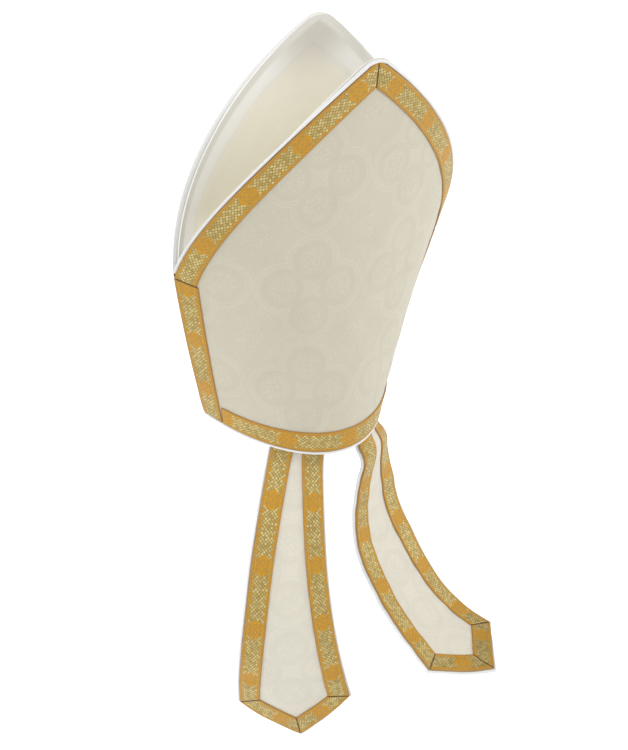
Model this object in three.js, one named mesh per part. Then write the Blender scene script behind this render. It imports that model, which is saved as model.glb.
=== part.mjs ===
// A bishop's mitre: two stiff cloth faces sewn together at short side seams, edged with woven
// braid, with a soft gusset folded down between the two peaks and two lappets hanging from the
// back of the rim.
//
// Millimetres. The origin is the middle of the opening at the rim, where the hat sits on the head.
// +Z runs up to the peaks, -Y is the front, +Y the back where the lappets hang, and +X is the
// wearer's left.
import * as THREE from "three";

// ---- Driving dimensions -------------------------------------------------------------------
const PEAK_HEIGHT = 387.5; // rim to the two points
const HORN_HEIGHT = 168.5; // rim to the top of each side seam
const RIM_SAG = 5; // the rim dips at the middle of the front and of the back

// Level sections of the hat. Each value is given at the rim, with its change for every 100 mm
// of height and a small bend for the square of it.
const HALF_WIDTH = { rim: 100.4, slope: 34.3, bend: -2.9 };
const SEAM_SETBACK = { rim: 0, slope: -1.8, bend: 0 };
const FACES = {
  back: {
    sign: 1,
    depth: { rim: 96.4, slope: -15.3, bend: 1.1 },
    fullness: { rim: 63, slope: -17.6, bend: 0 },
  },
  front: {
    sign: -1,
    depth: { rim: 95.3, slope: -15.4, bend: 0.4 },
    fullness: { rim: 70, slope: -17.6, bend: 0 },
  },
};
const LEAST_FULLNESS = 20; // half angle of the arc of a level section, in degrees

// The slanted edge from a horn up to the peak is one curve, full above the horn. Its two
// handles, as shares of the slant's width and rise.
const SLANT = { hornIn: 0.128, hornUp: 0.44, peakOut: 0.253, peakDown: 0.121 };

// Thicknesses, and the small gap that sewn layers keep
const PANEL_WALL = 2.2;
const BRAID_WALL = 0.9;
const CLOTH_WALL = 1.2;
const GAP = 0.4;
const SEAM_GAP = 0.3;

const BRAID_WIDTH = 21.2;
const PIPING_WIDTH = 3;

// The gusset's fold: a valley from horn to horn that sags onto the crown of the head
const GUSSET_REACH = 0.93; // share of the half width, where it is gathered into the horns
const VALLEY = { aboveHorn: 6, sag: 41, roll: 55 };
const GUSSET_SPACING = 1.8; // rows of the gusset lie closer together near the valley

// Lappets: flaring strips with a pointed end, sewn inside the back of the rim
const LAPPET = { sewnTop: 20, side: 313, point: 43, topHalf: 22.9, endHalf: 57, flare: 1.1 };
const SEWN_SLACK = 1.2; // between a lappet's sewn top and the inside of the back face
const BACKING_MARGIN = 3;
const POINT_STRETCH = 1.25; // how far a margin moves the point, for each millimetre
const CORNER_OUT = 1.06; // and the corners, outwards
const CORNER_DOWN = 0.45; // and downwards

// How each lappet hangs: down is the distance from its sewn top along the cloth, pitch swings
// it away from the head, yaw turns it about the vertical, lean tips it in its own plane, and
// curl bends its edges back from its middle round an arc, all in degrees.
const LAPPETS = {
  left: {
    attach: 45,
    hang: [
      { down: 0, pitch: 3, yaw: 0, lean: 0, curl: 22 },
      { down: 30, pitch: 3, yaw: 0, lean: 0, curl: 24 },
      { down: 50, pitch: 33, yaw: 5, lean: 3, curl: 20 },
      { down: 120, pitch: 33, yaw: 8, lean: 3, curl: 14 },
      { down: 180, pitch: 25, yaw: 9, lean: -2, curl: 15 },
      { down: 240, pitch: 10, yaw: 5, lean: -8, curl: 20 },
      { down: 300, pitch: -3, yaw: -3, lean: -12, curl: 23 },
      { down: 350, pitch: -6, yaw: -8, lean: -18, curl: 20 },
    ],
  },
  right: {
    attach: -59,
    hang: [
      { down: 0, pitch: 2, yaw: 0, lean: 0, curl: 28 },
      { down: 30, pitch: 2, yaw: 0, lean: 0, curl: 32 },
      { down: 48, pitch: 37, yaw: 0, lean: -3, curl: 28 },
      { down: 68, pitch: 0, yaw: -4, lean: -1, curl: 15 },
      { down: 120, pitch: 12, yaw: -15, lean: 1, curl: 0 },
      { down: 180, pitch: 40, yaw: -18, lean: 0, curl: 0 },
      { down: 220, pitch: 50, yaw: -10, lean: 9, curl: 0 },
      { down: 270, pitch: 66, yaw: 4, lean: 21, curl: 1 },
      { down: 315, pitch: 81, yaw: 17, lean: 36, curl: 1 },
      { down: 360, pitch: 97, yaw: 29, lean: 46, curl: 0 },
    ],
  },
};

// Colours, roughness and metalness
const FINISHES = {
  damask: { color: 0xd8d2c0, roughness: 0.75, metalness: 0 },
  braid: { color: 0xd09a3a, roughness: 0.5, metalness: 0.35 },
  satin: { color: 0xf2f0ea, roughness: 0.5, metalness: 0 },
};

// How finely the curved sheets are divided
const PANEL_COLUMNS = 32;
const PANEL_ROWS = 7;
const ARC_STEPS = 32;
const BISECTIONS = 30;
const SLANT_BRAID_STEPS = 20;
const SIDE_BRAID_STEPS = 6;
const RIM_BRAID_STEPS = 28;
const BRAID_COLUMNS = 2;

// ---- The hat's surface --------------------------------------------------------------------
// A point of a face is given by across, the distance along the cloth from the middle of the
// face (+ towards the wearer's left), by its height z, and by lift, its distance out of the
// cloth's outer surface.
const radians = (degrees) => (degrees * Math.PI) / 180;
const lerp = THREE.MathUtils.lerp;

function sizeAt(size, z) {
  const h = z / 100;
  return size.rim + size.slope * h + size.bend * h * h;
}

function sectionAt(face, z) {
  const fullness = Math.max(LEAST_FULLNESS, sizeAt(face.fullness, z));
  return {
    halfWidth: sizeAt(HALF_WIDTH, z),
    depth: sizeAt(face.depth, z),
    angle: radians(fullness),
    setback: sizeAt(SEAM_SETBACK, z),
  };
}

// The point of a level section at share, from -1 at the right seam to 1 at the left seam
function sectionPoint(face, section, share, z, lift) {
  const { angle } = section;
  const rise = 1 - Math.cos(angle);
  const seamSlope = (section.depth / section.halfWidth) * (Math.sin(angle) ** 2 / (rise * Math.cos(angle)));
  const seamLift = lift * Math.hypot(1, 1 / seamSlope);
  const halfWidth = section.halfWidth + seamLift;
  const depth = section.depth + lift;
  const x = (halfWidth * Math.sin(angle * share)) / Math.sin(angle);
  const out = (depth * (Math.cos(angle * share) - Math.cos(angle))) / rise;
  return new THREE.Vector3(x, section.setback + face.sign * (SEAM_GAP / 2 + out), z);
}

// Distances along the cloth from the middle of a face out to its seam, in equal shares
function arcLengths(face, z) {
  const section = sectionAt(face, z);
  const lengths = [0];
  let last = sectionPoint(face, section, 0, z, 0);
  for (let step = 1; step <= ARC_STEPS; step += 1) {
    const next = sectionPoint(face, section, step / ARC_STEPS, z, 0);
    lengths.push(lengths[step - 1] + next.distanceTo(last));
    last = next;
  }
  return lengths;
}

const halfGirth = (face, z) => arcLengths(face, z)[ARC_STEPS];

function shareAt(face, across, z) {
  const lengths = arcLengths(face, z);
  const distance = Math.min(Math.abs(across), lengths[ARC_STEPS]);
  let step = 1;
  while (step < ARC_STEPS && lengths[step] < distance) step += 1;
  const within = (distance - lengths[step - 1]) / (lengths[step] - lengths[step - 1]);
  return (Math.sign(across) * (step - 1 + within)) / ARC_STEPS;
}

const sharePoint = (face, share, z, lift) => sectionPoint(face, sectionAt(face, z), share, z, lift);
const clothPoint = (face, across, z, lift) => sharePoint(face, shareAt(face, across, z), z, lift);

// ---- Outline of a face --------------------------------------------------------------------
const rimHeight = (share) => -RIM_SAG * (1 - share * share);

// The slant from the horn (0) to the peak (1), as across and height on the flat cloth
function slantAt(face, along) {
  const width = halfGirth(face, HORN_HEIGHT);
  const rise = PEAK_HEIGHT - HORN_HEIGHT;
  const curve = new THREE.CubicBezierCurve(
    new THREE.Vector2(width, HORN_HEIGHT),
    new THREE.Vector2(width * (1 - SLANT.hornIn), HORN_HEIGHT + rise * SLANT.hornUp),
    new THREE.Vector2(width * SLANT.peakOut, PEAK_HEIGHT - rise * SLANT.peakDown),
    new THREE.Vector2(0, PEAK_HEIGHT),
  );
  return { point: curve.getPoint(along), tangent: curve.getTangent(along) };
}

// Height of the slant above a share of the half width
function slantHeight(face, share) {
  let low = 0;
  let high = 1;
  for (let step = 0; step < BISECTIONS; step += 1) {
    const middle = (low + high) / 2;
    const { point } = slantAt(face, middle);
    if (point.x / halfGirth(face, point.y) > Math.abs(share)) low = middle;
    else high = middle;
  }
  return slantAt(face, low).point.y;
}

// The slant moved inwards (+) or outwards (-) on the flat cloth
function slantOffset(face, along, distance) {
  const { point, tangent } = slantAt(face, along);
  return new THREE.Vector2(point.x - tangent.y * distance, point.y + tangent.x * distance);
}

// ---- Closed sheets ------------------------------------------------------------------------
// A closed wall from a grid of points: pointAt(column, row, layer) gives the outer (0) and the
// inner (1) surface. Two of its four edges are rows, the others columns.
function closedSheet(columns, rows, pointAt) {
  const positions = [];
  const index = [];
  const stride = (rows + 1) * (columns + 1);
  const at = (column, row, layer) => layer * stride + row * (columns + 1) + column;
  for (const layer of [0, 1]) {
    for (let row = 0; row <= rows; row += 1) {
      for (let column = 0; column <= columns; column += 1) {
        positions.push(...pointAt(column, row, layer).toArray());
      }
    }
  }
  const quad = (a, b, c, d) => index.push(a, b, c, a, c, d);
  for (let row = 0; row < rows; row += 1) {
    for (let column = 0; column < columns; column += 1) {
      const [right, up] = [column + 1, row + 1];
      quad(at(column, row, 0), at(right, row, 0), at(right, up, 0), at(column, up, 0));
      quad(at(column, up, 1), at(right, up, 1), at(right, row, 1), at(column, row, 1));
    }
  }
  for (let column = 0; column < columns; column += 1) {
    const right = column + 1;
    quad(at(column, 0, 1), at(right, 0, 1), at(right, 0, 0), at(column, 0, 0));
    quad(at(column, rows, 0), at(right, rows, 0), at(right, rows, 1), at(column, rows, 1));
  }
  for (let row = 0; row < rows; row += 1) {
    const up = row + 1;
    quad(at(0, row, 0), at(0, up, 0), at(0, up, 1), at(0, row, 1));
    quad(at(columns, up, 0), at(columns, row, 0), at(columns, row, 1), at(columns, up, 1));
  }
  if (enclosedVolume(positions, index) < 0) index.reverse();
  const geometry = new THREE.BufferGeometry();
  geometry.setAttribute("position", new THREE.Float32BufferAttribute(positions, 3));
  geometry.setIndex(index);
  geometry.computeVertexNormals();
  return geometry;
}

function enclosedVolume(positions, index) {
  const corner = (place) => new THREE.Vector3().fromArray(positions, index[place] * 3);
  let volume = 0;
  for (let place = 0; place < index.length; place += 3) {
    const edge = corner(place + 1).cross(corner(place + 2));
    volume += corner(place).dot(edge) / 6;
  }
  return volume;
}

// A strip on a face between two edges. Each edge gives across and height from 0 to 1 along it.
function faceStrip(face, steps, widthSteps, edgeA, edgeB, outerLift, innerLift) {
  return closedSheet(steps, widthSteps, (column, row, layer) => {
    const along = column / steps;
    const flat = edgeA(along).clone().lerp(edgeB(along), row / widthSteps);
    return clothPoint(face, flat.x, flat.y, layer ? innerLift : outerLift);
  });
}

const hat = new THREE.Group();

function addPiece(name, finish, geometry) {
  const mesh = new THREE.Mesh(geometry, new THREE.MeshStandardMaterial(FINISHES[finish]));
  mesh.name = name;
  hat.add(mesh);
}

// ---- Stiff faces --------------------------------------------------------------------------
for (const [faceName, face] of Object.entries(FACES)) {
  const tops = [];
  for (let column = 0; column <= PANEL_COLUMNS; column += 1) {
    tops.push(slantHeight(face, (2 * column) / PANEL_COLUMNS - 1));
  }
  const geometry = closedSheet(PANEL_COLUMNS, PANEL_ROWS, (column, row, layer) => {
    const share = (2 * column) / PANEL_COLUMNS - 1;
    const z = lerp(rimHeight(share), tops[column], row / PANEL_ROWS);
    return sharePoint(face, share, z, layer ? -PANEL_WALL : 0);
  });
  addPiece(`${faceName}_panel`, "damask", geometry);
}

// ---- Braid on the faces -------------------------------------------------------------------
// Each slant, each side and the rim of a face has its own length of braid, with mitred joints
// at the horns and at the peak.
const BRAID_LIFT = { outer: GAP + BRAID_WALL, inner: GAP };
const JOINT_GAP = 0.4;
const MEET_STEP = 0.001; // of the slant, when looking for where the braid's inner edges meet

function braidShape(face) {
  let meet = 1;
  while (slantOffset(face, meet, BRAID_WIDTH).x < 0) meet -= MEET_STEP;
  const hornOuter = new THREE.Vector2(halfGirth(face, HORN_HEIGHT), HORN_HEIGHT);
  const cornerHeight = slantOffset(face, 0, BRAID_WIDTH).y;
  const hornInner = new THREE.Vector2(halfGirth(face, cornerHeight) - BRAID_WIDTH, cornerHeight);
  return { meet, hornOuter, hornInner };
}

function addFaceBraid(faceName, face) {
  const { meet, hornOuter, hornInner } = braidShape(face);
  const sides = { left: 1, right: -1 };
  for (const [sideName, side] of Object.entries(sides)) {
    const mirror = (point) => new THREE.Vector2(point.x * side, point.y);
    const slantOuter = (along) => {
      const { point } = slantAt(face, along);
      return mirror(new THREE.Vector2(Math.max(point.x, JOINT_GAP / 2), point.y));
    };
    const slantInner = (along) => {
      const point = along === 0 ? hornInner : slantOffset(face, along * meet, BRAID_WIDTH);
      return mirror(new THREE.Vector2(Math.max(point.x, JOINT_GAP / 2), point.y));
    };
    const { outer, inner } = BRAID_LIFT;
    const slant = faceStrip(face, SLANT_BRAID_STEPS, BRAID_COLUMNS, slantOuter, slantInner, outer, inner);
    addPiece(`${faceName}_slant_braid_${sideName}`, "braid", slant);

    const sideOuter = (along) => {
      const z = lerp(0, hornOuter.y - JOINT_GAP, along);
      return mirror(new THREE.Vector2(halfGirth(face, z), z));
    };
    const sideInner = (along) => {
      const z = lerp(rimHeight(1 - BRAID_WIDTH / hornOuter.x), hornInner.y - JOINT_GAP, along);
      return mirror(new THREE.Vector2(halfGirth(face, z) - BRAID_WIDTH, z));
    };
    const upright = faceStrip(face, SIDE_BRAID_STEPS, BRAID_COLUMNS, sideOuter, sideInner, outer, inner);
    addPiece(`${faceName}_side_braid_${sideName}`, "braid", upright);
  }

  const reach = (halfGirth(face, 0) - BRAID_WIDTH - JOINT_GAP) / halfGirth(face, 0);
  const rimEdge = (up) => (along) => {
    const share = lerp(-reach, reach, along);
    const z = rimHeight(share) + up;
    return new THREE.Vector2(share * halfGirth(face, 0), z);
  };
  const { outer, inner } = BRAID_LIFT;
  const rim = faceStrip(face, RIM_BRAID_STEPS, 1, rimEdge(BRAID_WIDTH), rimEdge(0), outer, inner);
  addPiece(`${faceName}_rim_braid`, "braid", rim);
}

for (const [faceName, face] of Object.entries(FACES)) addFaceBraid(faceName, face);

// ---- White edging -------------------------------------------------------------------------
// The lining is turned over the edges of the faces as a narrow rolled edge: one run over both
// slants of a face, and one below the rim of each face.
const PIPING_LIFT = { outer: BRAID_LIFT.outer, inner: -PANEL_WALL };
const PIPING_STEPS = 36; // an even number, so that one step lies on the peak
const PIPING_START = 0.02;

function edgePiping(face, distance) {
  return (along) => {
    const signed = 2 * along - 1;
    const side = signed < 0 ? -1 : 1;
    const onSlant = lerp(1, PIPING_START, Math.abs(signed));
    const point = slantOffset(face, onSlant, -distance);
    if (signed === 0) {
      const { tangent } = slantAt(face, 1);
      return new THREE.Vector2(0, PEAK_HEIGHT + distance / Math.abs(tangent.x));
    }
    const widest = halfGirth(face, point.y) - SEAM_GAP;
    return new THREE.Vector2(side * Math.min(point.x, widest), point.y);
  };
}

for (const [faceName, face] of Object.entries(FACES)) {
  const { outer, inner } = PIPING_LIFT;
  const near = edgePiping(face, GAP);
  const far = edgePiping(face, GAP + PIPING_WIDTH);
  addPiece(`${faceName}_edge_piping`, "satin", faceStrip(face, PIPING_STEPS, 1, near, far, outer, inner));

  const rimRun = (down) => (along) => {
    const share = lerp(-1, 1, along);
    return new THREE.Vector2(share * halfGirth(face, 0), rimHeight(share) - down);
  };
  const rim = faceStrip(face, PANEL_COLUMNS, 1, rimRun(GAP), rimRun(GAP + PIPING_WIDTH), outer, inner);
  addPiece(`${faceName}_rim_piping`, "satin", rim);
}

// ---- Gusset -------------------------------------------------------------------------------
// The soft lining between the two faces. It lies against the inside of each face, and folds
// down into a valley from horn to horn.
const GUSSET_COLUMNS = 24;
const GUSSET_ROWS = 14;
const GUSSET_LIFT = -(PANEL_WALL + GAP + CLOTH_WALL / 2);
const GUSSET_EDGE_DROP = 1;
const LEAST_ROLL = 0.85; // of the gusset's height, where that is low
const NUDGE = 0.01; // of the gusset's own measures, for the direction of its surface

function gussetPoint(share, run) {
  const valley = HORN_HEIGHT + VALLEY.aboveHorn - VALLEY.sag * (1 - (share / GUSSET_REACH) ** 2);
  const face = run < 0 ? FACES.front : FACES.back;
  const height = slantHeight(face, share) - GUSSET_EDGE_DROP - valley;
  const up = height * Math.abs(run) ** GUSSET_SPACING;
  const roll = Math.min(VALLEY.roll, height * LEAST_ROLL);
  const spread = Math.sin((Math.PI / 2) * Math.min(1, up / roll));
  const z = valley + up;
  const front = sharePoint(FACES.front, share, z, GUSSET_LIFT);
  const back = sharePoint(FACES.back, share, z, GUSSET_LIFT);
  const own = run < 0 ? front : back;
  const middle = front.clone().add(back).divideScalar(2);
  middle.y = sizeAt(SEAM_SETBACK, z);
  return middle.lerp(own, spread);
}

function gussetSurface(column, row, layer) {
  const share = GUSSET_REACH * ((2 * column) / GUSSET_COLUMNS - 1);
  const run = (2 * row) / GUSSET_ROWS - 1;
  const acrossWay = gussetPoint(share + NUDGE, run).sub(gussetPoint(share - NUDGE, run));
  const [low, high] = [Math.max(-1, run - NUDGE), Math.min(1, run + NUDGE)];
  const upWay = gussetPoint(share, high).sub(gussetPoint(share, low));
  const normal = acrossWay.cross(upWay).normalize();
  return gussetPoint(share, run).addScaledVector(normal, (layer ? -1 : 1) * (CLOTH_WALL / 2));
}

addPiece("gusset", "satin", closedSheet(GUSSET_COLUMNS, GUSSET_ROWS, gussetSurface));

// ---- Lappets ------------------------------------------------------------------------------
// Each is a stiffened cloth strip with braid along its edges and point, on a white backing
// that shows as a narrow border all round.
const LAYER_GAP = 0.5;
const LAPPET_LAYERS = {
  backing: { outer: -LAYER_GAP, inner: -LAYER_GAP - CLOTH_WALL },
  cloth: { outer: CLOTH_WALL, inner: 0 },
  braid: { outer: CLOTH_WALL + LAYER_GAP + BRAID_WALL, inner: CLOTH_WALL + LAYER_GAP },
};
const STATION = { count: 20, spacing: 14.4 }; // rows that all the layers of a lappet share
const LAPPET_COLUMNS = 6;
const CORNER_ROWS = 3; // rows between the last station and the point
const POINT_STEPS = 5;
const PATH_STEP = 1;
const SMOOTHNESS = 0.3; // of the change from one row of the hanging table to the next
const LEAST_CURL = 0.1;
const HANG_KEYS = ["pitch", "yaw", "lean", "curl"];

// Values of the hanging table at a distance down the lappet, smoothed between its rows
function hangAt(table, down) {
  let row = 1;
  while (row < table.length - 1 && table[row].down < down) row += 1;
  const [a, b] = [table[row - 1], table[row]];
  const share = THREE.MathUtils.smoothstep(down, a.down, b.down);
  const linear = THREE.MathUtils.clamp((down - a.down) / (b.down - a.down), 0, 1);
  const values = {};
  for (const key of HANG_KEYS) values[key] = lerp(a[key], b[key], lerp(linear, share, SMOOTHNESS));
  return values;
}

// The lappet's middle line from the sewn top down, with its directions
function lappetPath({ attach, hang }) {
  const face = FACES.back;
  const lift = -(PANEL_WALL + SEWN_SLACK + LAPPET_LAYERS.braid.outer);
  const place = clothPoint(face, attach, LAPPET.sewnTop, lift);
  const edge = clothPoint(face, attach + 1, LAPPET.sewnTop, lift).sub(place);
  const tangentYaw = Math.atan2(edge.y, edge.x);
  const path = [];
  const length = LAPPET.side + LAPPET.point + BACKING_MARGIN * 2;
  for (let down = 0; down <= length; down += PATH_STEP) {
    const { pitch, yaw, lean, curl } = hangAt(hang, down);
    const turn = tangentYaw + radians(yaw);
    const level = new THREE.Vector3(Math.cos(turn), Math.sin(turn), 0);
    const outwards = new THREE.Vector3(-Math.sin(turn), Math.cos(turn), 0);
    const fall = outwards.multiplyScalar(Math.sin(radians(pitch)));
    fall.z = -Math.cos(radians(pitch));
    const tip = radians(lean);
    const way = fall.clone().multiplyScalar(Math.cos(tip)).addScaledVector(level, Math.sin(tip));
    const across = level.clone().multiplyScalar(Math.cos(tip)).addScaledVector(fall, -Math.sin(tip));
    const inwards = way.clone().cross(across);
    path.push({ place: place.clone(), across, inwards, curl });
    place.addScaledVector(way, PATH_STEP);
  }
  return path;
}

const lappetHalf = (down) => {
  const share = THREE.MathUtils.clamp(down / LAPPET.side, 0, 1);
  return lerp(LAPPET.topHalf, LAPPET.endHalf, share ** LAPPET.flare);
};

// A point of the hanging lappet, from its place on the flat cloth
function lappetPoint(path, across, down, lift) {
  const number = Math.min(Math.floor(down / PATH_STEP), path.length - 2);
  const before = path[number];
  const after = path[number + 1];
  const share = down / PATH_STEP - number;
  const middle = before.place.clone().lerp(after.place, share);
  const widthWay = before.across.clone().lerp(after.across, share).normalize();
  const inwards = before.inwards.clone().lerp(after.inwards, share).normalize();
  const roundness = radians(Math.max(LEAST_CURL, lerp(before.curl, after.curl, share))) / lappetHalf(down);
  const radius = 1 / roundness + lift;
  const turned = across * roundness;
  middle.addScaledVector(widthWay, radius * Math.sin(turned));
  return middle.addScaledVector(inwards, 1 / roundness - radius * Math.cos(turned));
}

// Rows run at the shared stations, then close up to the end of their own layer
function stationAt(step, steps, end) {
  const last = STATION.count * STATION.spacing;
  if (step <= STATION.count) return step * STATION.spacing;
  return lerp(last, end, (step - STATION.count) / (steps - STATION.count));
}

function lappetSheet(path, margin, layer) {
  const rows = STATION.count + CORNER_ROWS;
  const corner = LAPPET.side + margin * CORNER_DOWN;
  const point = LAPPET.side + LAPPET.point + margin * POINT_STRETCH;
  return closedSheet(LAPPET_COLUMNS, rows, (column, row, side) => {
    const share = (2 * column) / LAPPET_COLUMNS - 1;
    const end = lerp(point, corner, Math.abs(share));
    const down = stationAt(row, rows, end);
    const across = share * (lappetHalf(down) + margin);
    return lappetPoint(path, across, down, side ? layer.inner : layer.outer);
  });
}

// A length of braid between two edges, each giving across and down for its steps
function lappetStrip(path, steps, edgeA, edgeB) {
  const { outer, inner } = LAPPET_LAYERS.braid;
  return closedSheet(steps, BRAID_COLUMNS, (column, row, side) => {
    const flat = edgeA(column).lerp(edgeB(column), row / BRAID_COLUMNS);
    return lappetPoint(path, flat.x, flat.y, side ? inner : outer);
  });
}

function addLappet(name, lappet) {
  const path = lappetPath(lappet);
  addPiece(`lappet_${name}`, "damask", lappetSheet(path, 0, LAPPET_LAYERS.cloth));
  addPiece(`lappet_${name}_backing`, "satin", lappetSheet(path, BACKING_MARGIN, LAPPET_LAYERS.backing));

  const tip = LAPPET.side + LAPPET.point;
  const innerCorner = {
    x: LAPPET.endHalf - BRAID_WIDTH * CORNER_OUT,
    y: LAPPET.side - BRAID_WIDTH * CORNER_DOWN,
  };
  const innerTip = tip - BRAID_WIDTH * POINT_STRETCH;
  const sides = { left: 1, right: -1 };
  for (const [sideName, side] of Object.entries(sides)) {
    const sideSteps = STATION.count + 1;
    const sideOuter = (step) => {
      const down = stationAt(step, sideSteps, LAPPET.side - JOINT_GAP);
      return new THREE.Vector2(side * lappetHalf(down), down);
    };
    const sideInner = (step) => {
      const down = stationAt(step, sideSteps, innerCorner.y - JOINT_GAP);
      const across = Math.max(lappetHalf(down) - BRAID_WIDTH, JOINT_GAP / 2);
      return new THREE.Vector2(side * across, down);
    };
    const run = lappetStrip(path, sideSteps, sideOuter, sideInner);
    addPiece(`lappet_${name}_braid_${sideName}`, "braid", run);

    const pointOuter = (step) => {
      const across = lerp(LAPPET.endHalf, JOINT_GAP / 2, step / POINT_STEPS);
      return new THREE.Vector2(side * across, lerp(LAPPET.side, tip, step / POINT_STEPS));
    };
    const pointInner = (step) => {
      const across = lerp(innerCorner.x, JOINT_GAP / 2, step / POINT_STEPS);
      return new THREE.Vector2(side * across, lerp(innerCorner.y, innerTip, step / POINT_STEPS));
    };
    const end = lappetStrip(path, POINT_STEPS, pointOuter, pointInner);
    addPiece(`lappet_${name}_point_braid_${sideName}`, "braid", end);
  }
}

for (const [name, lappet] of Object.entries(LAPPETS)) addLappet(name, lappet);

export default hat;
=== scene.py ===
import bpy
import numpy as np
from mathutils import Matrix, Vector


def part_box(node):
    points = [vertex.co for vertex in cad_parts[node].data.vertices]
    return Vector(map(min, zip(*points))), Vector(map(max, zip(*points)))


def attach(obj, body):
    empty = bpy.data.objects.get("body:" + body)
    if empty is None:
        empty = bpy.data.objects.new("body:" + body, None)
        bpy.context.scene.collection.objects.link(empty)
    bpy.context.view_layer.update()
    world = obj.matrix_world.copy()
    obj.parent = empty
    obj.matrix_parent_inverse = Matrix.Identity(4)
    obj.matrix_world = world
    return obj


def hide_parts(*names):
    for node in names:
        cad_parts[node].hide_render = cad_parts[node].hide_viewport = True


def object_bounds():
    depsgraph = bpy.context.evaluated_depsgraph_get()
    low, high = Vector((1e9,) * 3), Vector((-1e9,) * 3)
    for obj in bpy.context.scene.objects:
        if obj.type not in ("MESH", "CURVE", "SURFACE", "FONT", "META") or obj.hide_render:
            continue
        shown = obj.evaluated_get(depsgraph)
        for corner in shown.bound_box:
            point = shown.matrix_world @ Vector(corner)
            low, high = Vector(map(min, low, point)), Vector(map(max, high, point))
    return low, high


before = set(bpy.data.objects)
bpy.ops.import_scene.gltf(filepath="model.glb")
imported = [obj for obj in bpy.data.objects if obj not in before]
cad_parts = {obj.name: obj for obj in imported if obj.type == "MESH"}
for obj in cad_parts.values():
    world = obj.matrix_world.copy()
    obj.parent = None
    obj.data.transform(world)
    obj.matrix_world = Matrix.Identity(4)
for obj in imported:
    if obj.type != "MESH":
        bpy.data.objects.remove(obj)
cad_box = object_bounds()

# ---- The two stiff faces ------------------------------------------------------------------
# Each face of the mitre is one shield-shaped piece of cream damask, stiffened and bent round
# the head. The two are sewn together at the short side seams, from the rim up to the horns.
# Lengths are millimetres until a mesh is made. Across is the distance along the cloth from
# the middle of a face, + to the wearer's left; lift is the distance out of its surface.
MM = 0.001
PEAK_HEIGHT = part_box("back_panel")[1].z / MM
RIM_SAG = -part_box("back_panel")[0].z / MM
HORN_HEIGHT = 168.5
PANEL_WALL = 2.2
LAYER_GAP = 0.4
SEAM_GAP = 0.3

# Level sections: the value at the rim, its slope and its bend for every 100 mm of height
HALF_WIDTH = (100.4, 34.3, -2.9)
SEAM_SETBACK = (0, -1.8, 0)
LEAST_FULLNESS = 20
FACES = {
    "back": {"sign": 1, "depth": (96.4, -15.3, 1.1), "fullness": (63, -17.6, 0)},
    "front": {"sign": -1, "depth": (95.3, -15.4, 0.4), "fullness": (70, -17.6, 0)},
}
SLANT = {"horn_in": 0.128, "horn_up": 0.44, "peak_out": 0.253, "peak_down": 0.121}
ARC_STEPS = 48
SLANT_STEPS = 400


def mix(a, b, share):
    return a + (b - a) * share


def rise_between(low, high, value):
    """0 below low, 1 above high, and a smooth rise between them."""
    share = np.clip((value - low) / (high - low), 0, 1)
    return share * share * (3 - 2 * share)


def size_at(size, z):
    h = z / 100
    return size[0] + size[1] * h + size[2] * h * h


def share_point(face, share, z, lift=0.0):
    """Points of level sections at a share, from -1 at the right seam to 1 at the left one."""
    fullness = np.radians(np.maximum(LEAST_FULLNESS, size_at(face["fullness"], z)))
    half_width = size_at(HALF_WIDTH, z)
    depth = size_at(face["depth"], z)
    rise = 1 - np.cos(fullness)
    seam_slope = depth / half_width * np.sin(fullness) ** 2 / (rise * np.cos(fullness))
    half_width = half_width + lift * np.hypot(1, 1 / seam_slope)
    x = half_width * np.sin(fullness * share) / np.sin(fullness)
    out = (depth + lift) * (np.cos(fullness * share) - np.cos(fullness)) / rise
    y = size_at(SEAM_SETBACK, z) + face["sign"] * (SEAM_GAP / 2 + out)
    return np.stack(np.broadcast_arrays(x, y, z), axis=-1)


def arc_lengths(face, z):
    """Distances along the cloth from the middle to the seam, a row of them for each height."""
    shares = np.linspace(0, 1, ARC_STEPS + 1)
    points = share_point(face, shares, z[:, None])
    steps = np.linalg.norm(np.diff(points, axis=1), axis=2)
    return np.concatenate([np.zeros((len(z), 1)), np.cumsum(steps, axis=1)], axis=1)


def half_girth(face, z):
    return arc_lengths(face, np.ravel(z).astype(float))[:, -1].reshape(np.shape(z))


def cloth_point(face, across, z, lift=0.0):
    """Points of a face from their place on its flat cloth."""
    across, z = np.broadcast_arrays(np.asarray(across, float), np.asarray(z, float))
    lengths = arc_lengths(face, z.ravel())
    rows = np.arange(lengths.shape[0])
    distance = np.abs(across).ravel()
    step = np.clip((lengths < distance[:, None]).sum(axis=1), 1, ARC_STEPS)
    below = lengths[rows, step - 1]
    within = (distance - below) / (lengths[rows, step] - below)
    share = (np.sign(across).ravel() * (step - 1 + within) / ARC_STEPS).reshape(z.shape)
    return share_point(face, share, z, lift)


def rim_height(share):
    return -RIM_SAG * (1 - share * share)


def slant_line(face, count=SLANT_STEPS):
    """The slanted edge from the horn up to the peak on the flat cloth: across and height."""
    width = float(half_girth(face, np.array([HORN_HEIGHT]))[0])
    rise = PEAK_HEIGHT - HORN_HEIGHT
    corners = np.array([
        [width, HORN_HEIGHT],
        [width * (1 - SLANT["horn_in"]), HORN_HEIGHT + rise * SLANT["horn_up"]],
        [width * SLANT["peak_out"], PEAK_HEIGHT - rise * SLANT["peak_down"]],
        [0, PEAK_HEIGHT],
    ])
    t = np.linspace(0, 1, count)[:, None]
    weights = [(1 - t) ** 3, 3 * t * (1 - t) ** 2, 3 * t * t * (1 - t), t ** 3]
    return sum(weight * corner for weight, corner in zip(weights, corners))


def ways_along(line):
    """Unit directions along a line of flat points."""
    ways = np.gradient(line, axis=0)
    return ways / np.linalg.norm(ways, axis=1, keepdims=True)


def slant_height(face, share):
    line = slant_line(face)
    shares = line[:, 0] / half_girth(face, line[:, 1])
    return np.interp(-np.abs(share), -shares, line[:, 1])


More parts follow.
